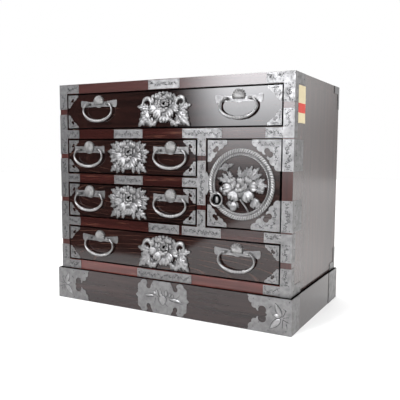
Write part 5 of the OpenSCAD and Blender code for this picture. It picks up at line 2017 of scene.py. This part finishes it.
@dataclass
class Studio:
    """The pale floor, the soft lights, the glowing window and room, and the camera.

    Attributes:
        tongue: The near and far left corners of the floor's tongue, and its front end.
        far_glow: How the floor's own light grows to the back.
        room: How the room's light changes along its axes: the first three are multiplied, the last is added.
    """

    place: Vector = Vector((0.8097, -1.4886, 0.4685))
    yaw: float = 28.459
    pitch: float = -5.416
    roll: float = 0.373
    lens: float = 48.884
    window_x: Pair = (-2.25, -0.5)
    window_y: float = -4.0
    window_top: float = 2.4
    window_glow: float = 22.0
    window_left: Fade = Fade(-2.25, -1.55)
    window_foot: Fade = Fade(0.0, 1.25)
    fade_curve: float = 1.6
    floor_end: float = 7.0
    floor_front: float = -0.85
    tongue: Triple = (-0.38, -0.75, -2.6)
    far_glow: Fade = Fade(1.5, 5.0, 0.0, 0.35)
    room: tuple[tuple[str, Fade], ...] = (("Y", Fade(-0.3, 0.9, 0.1, 0.9)), ("X", Fade(0.15, 0.36, 0.45, 1.15)),
                                          ("Z", Fade(0.02, 0.12, 1.0, 1.5)), ("Z", Fade(0.3, 0.9, 0.0, 1.1)))

    def build(self) -> None:
        """Builds the floor, the lights, the surroundings and the camera."""
        self.floor()
        self.window()
        SoftLight("overhead", Vector((0.2, -1.3, 3.2)), Vector((0.0, -0.4, 0.3)), (3.0, 2.2), 75.0).build()
        SoftLight("left_fill", Vector((-3.4, -0.9, 1.6)), Vector((0.0, -0.2, 0.35)), (1.6, 1.6), 24.0).build()
        self.surroundings()
        self.camera()
        bpy.context.scene.view_settings.view_transform = "Standard"
        bpy.context.scene.view_settings.look = "None"

    def floor(self) -> None:
        """Lays a wide pale floor with a tongue that runs on to the front on the right."""
        end, front = self.floor_end, self.floor_front
        near, far, tip = self.tongue
        bm = bmesh.new()
        for corners in (((-end, front), (end, front), (-end, end), (end, end)),
                        ((far, tip), (end, tip), (near, front), (end, front))):
            verts = bmesh.ops.create_grid(bm, x_segments=1, y_segments=1, size=1.0)["verts"]
            for vert, (x, y) in zip(verts, corners):
                vert.co = (x, y, 0)
        r = Recipe("floor_paint")
        speckle = r.noise(r.place, 3.0, 2.0)
        r.set(Base_Color=r.blend(speckle, (0.9, 0.9, 0.9), (0.94, 0.94, 0.94)), Roughness=0.8,
              Emission_Color=(1, 1, 1, 1), Emission_Strength=r.ramp(r.axis("Y"), *self.far_glow))
        stage_sheet("floor", bm, r.material)

    def window(self) -> None:
        """Hangs a tall glowing sheet in front of the chest that fades out to its left and at its foot."""
        bm = bmesh.new()
        bmesh.ops.create_grid(bm, x_segments=1, y_segments=1, size=0.5)
        for vert in bm.verts:
            vert.co = Vector((self.window_x[0] + (vert.co.x + 0.5) * (self.window_x[1] - self.window_x[0]),
                              self.window_y, (vert.co.y + 0.5) * self.window_top))
        r = Recipe("window_glow")
        left = r.ramp(r.axis("X"), *self.window_left, curve="SMOOTHSTEP")
        foot = r.math("POWER", r.ramp(r.axis("Z"), *self.window_foot), self.fade_curve)
        glow = r.math("MULTIPLY", r.math("MULTIPLY", left, foot), self.window_glow)
        r.set(Base_Color=(0, 0, 0, 1), Specular_IOR_Level=0.0, Emission_Color=(0.95, 0.97, 1.0, 1),
              Emission_Strength=glow)
        stage_sheet("window", bm, r.material).visible_camera = False

    def surroundings(self) -> None:
        """Lights the room: bright behind the chest and overhead, dim behind the camera."""
        world = bpy.data.worlds.new("room")
        world.use_nodes = True
        room = Nodes(world.node_tree)
        view = room.node("ShaderNodeTexCoord").outputs["Generated"]
        split = room.node("ShaderNodeSeparateXYZ", {0: view}).outputs
        depth, across, lift, top = (room.ramp(split[axis], *fade, curve="SMOOTHSTEP") for axis, fade in self.room)
        glow = room.math("ADD", room.math("MULTIPLY", room.math("MULTIPLY", depth, across), lift), top)
        seen = room.node("ShaderNodeLightPath").outputs["Is Camera Ray"]
        back = room.tree.nodes["Background"]
        room.join(back.inputs["Color"], (1, 1, 1, 1))
        room.join(back.inputs["Strength"], room.node("ShaderNodeMix", {0: seen, 2: glow, 3: 1.0}).outputs[0])
        bpy.context.scene.world = world

    def camera(self) -> None:
        """Puts the camera at the photograph's place."""
        data = bpy.data.cameras.new("camera")
        data.sensor_fit = "HORIZONTAL"
        data.sensor_width = 36.0
        data.lens = self.lens
        camera = bpy.data.objects.new("camera", data)
        turn = Matrix.Rotation(math.radians(self.yaw), 4, "Z") @ Matrix.Rotation(
            math.radians(90 + self.pitch), 4, "X") @ Matrix.Rotation(math.radians(self.roll), 4, "Z")
        camera.matrix_world = Matrix.Translation(self.place) @ turn
        bpy.context.scene.collection.objects.link(camera)
        bpy.context.scene.camera = camera


def main() -> None:
    """Dresses the solids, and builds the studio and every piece."""
    logging.basicConfig(level=logging.INFO, format="%(name)s: %(message)s")
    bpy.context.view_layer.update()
    finishes = Finishes()
    PlainParts(finishes).dress()
    Studio().build()
    chasing = Chasing(finishes)
    for drawer in DRAWERS:
        PeonyLock(drawer, finishes).build()
        for side in ("left", "right"):
            Bail(drawer, side, finishes).build()
            Shell(drawer, side, finishes).build()
    DoorOrnament(finishes).build()
    BodyIronwork(chasing).build()
    FrontIronwork(chasing).build()
    PlinthIronwork(finishes, chasing).build()
    chasing.finish()
    PaperSlip().build()


if __name__ == "__main__":
    main()
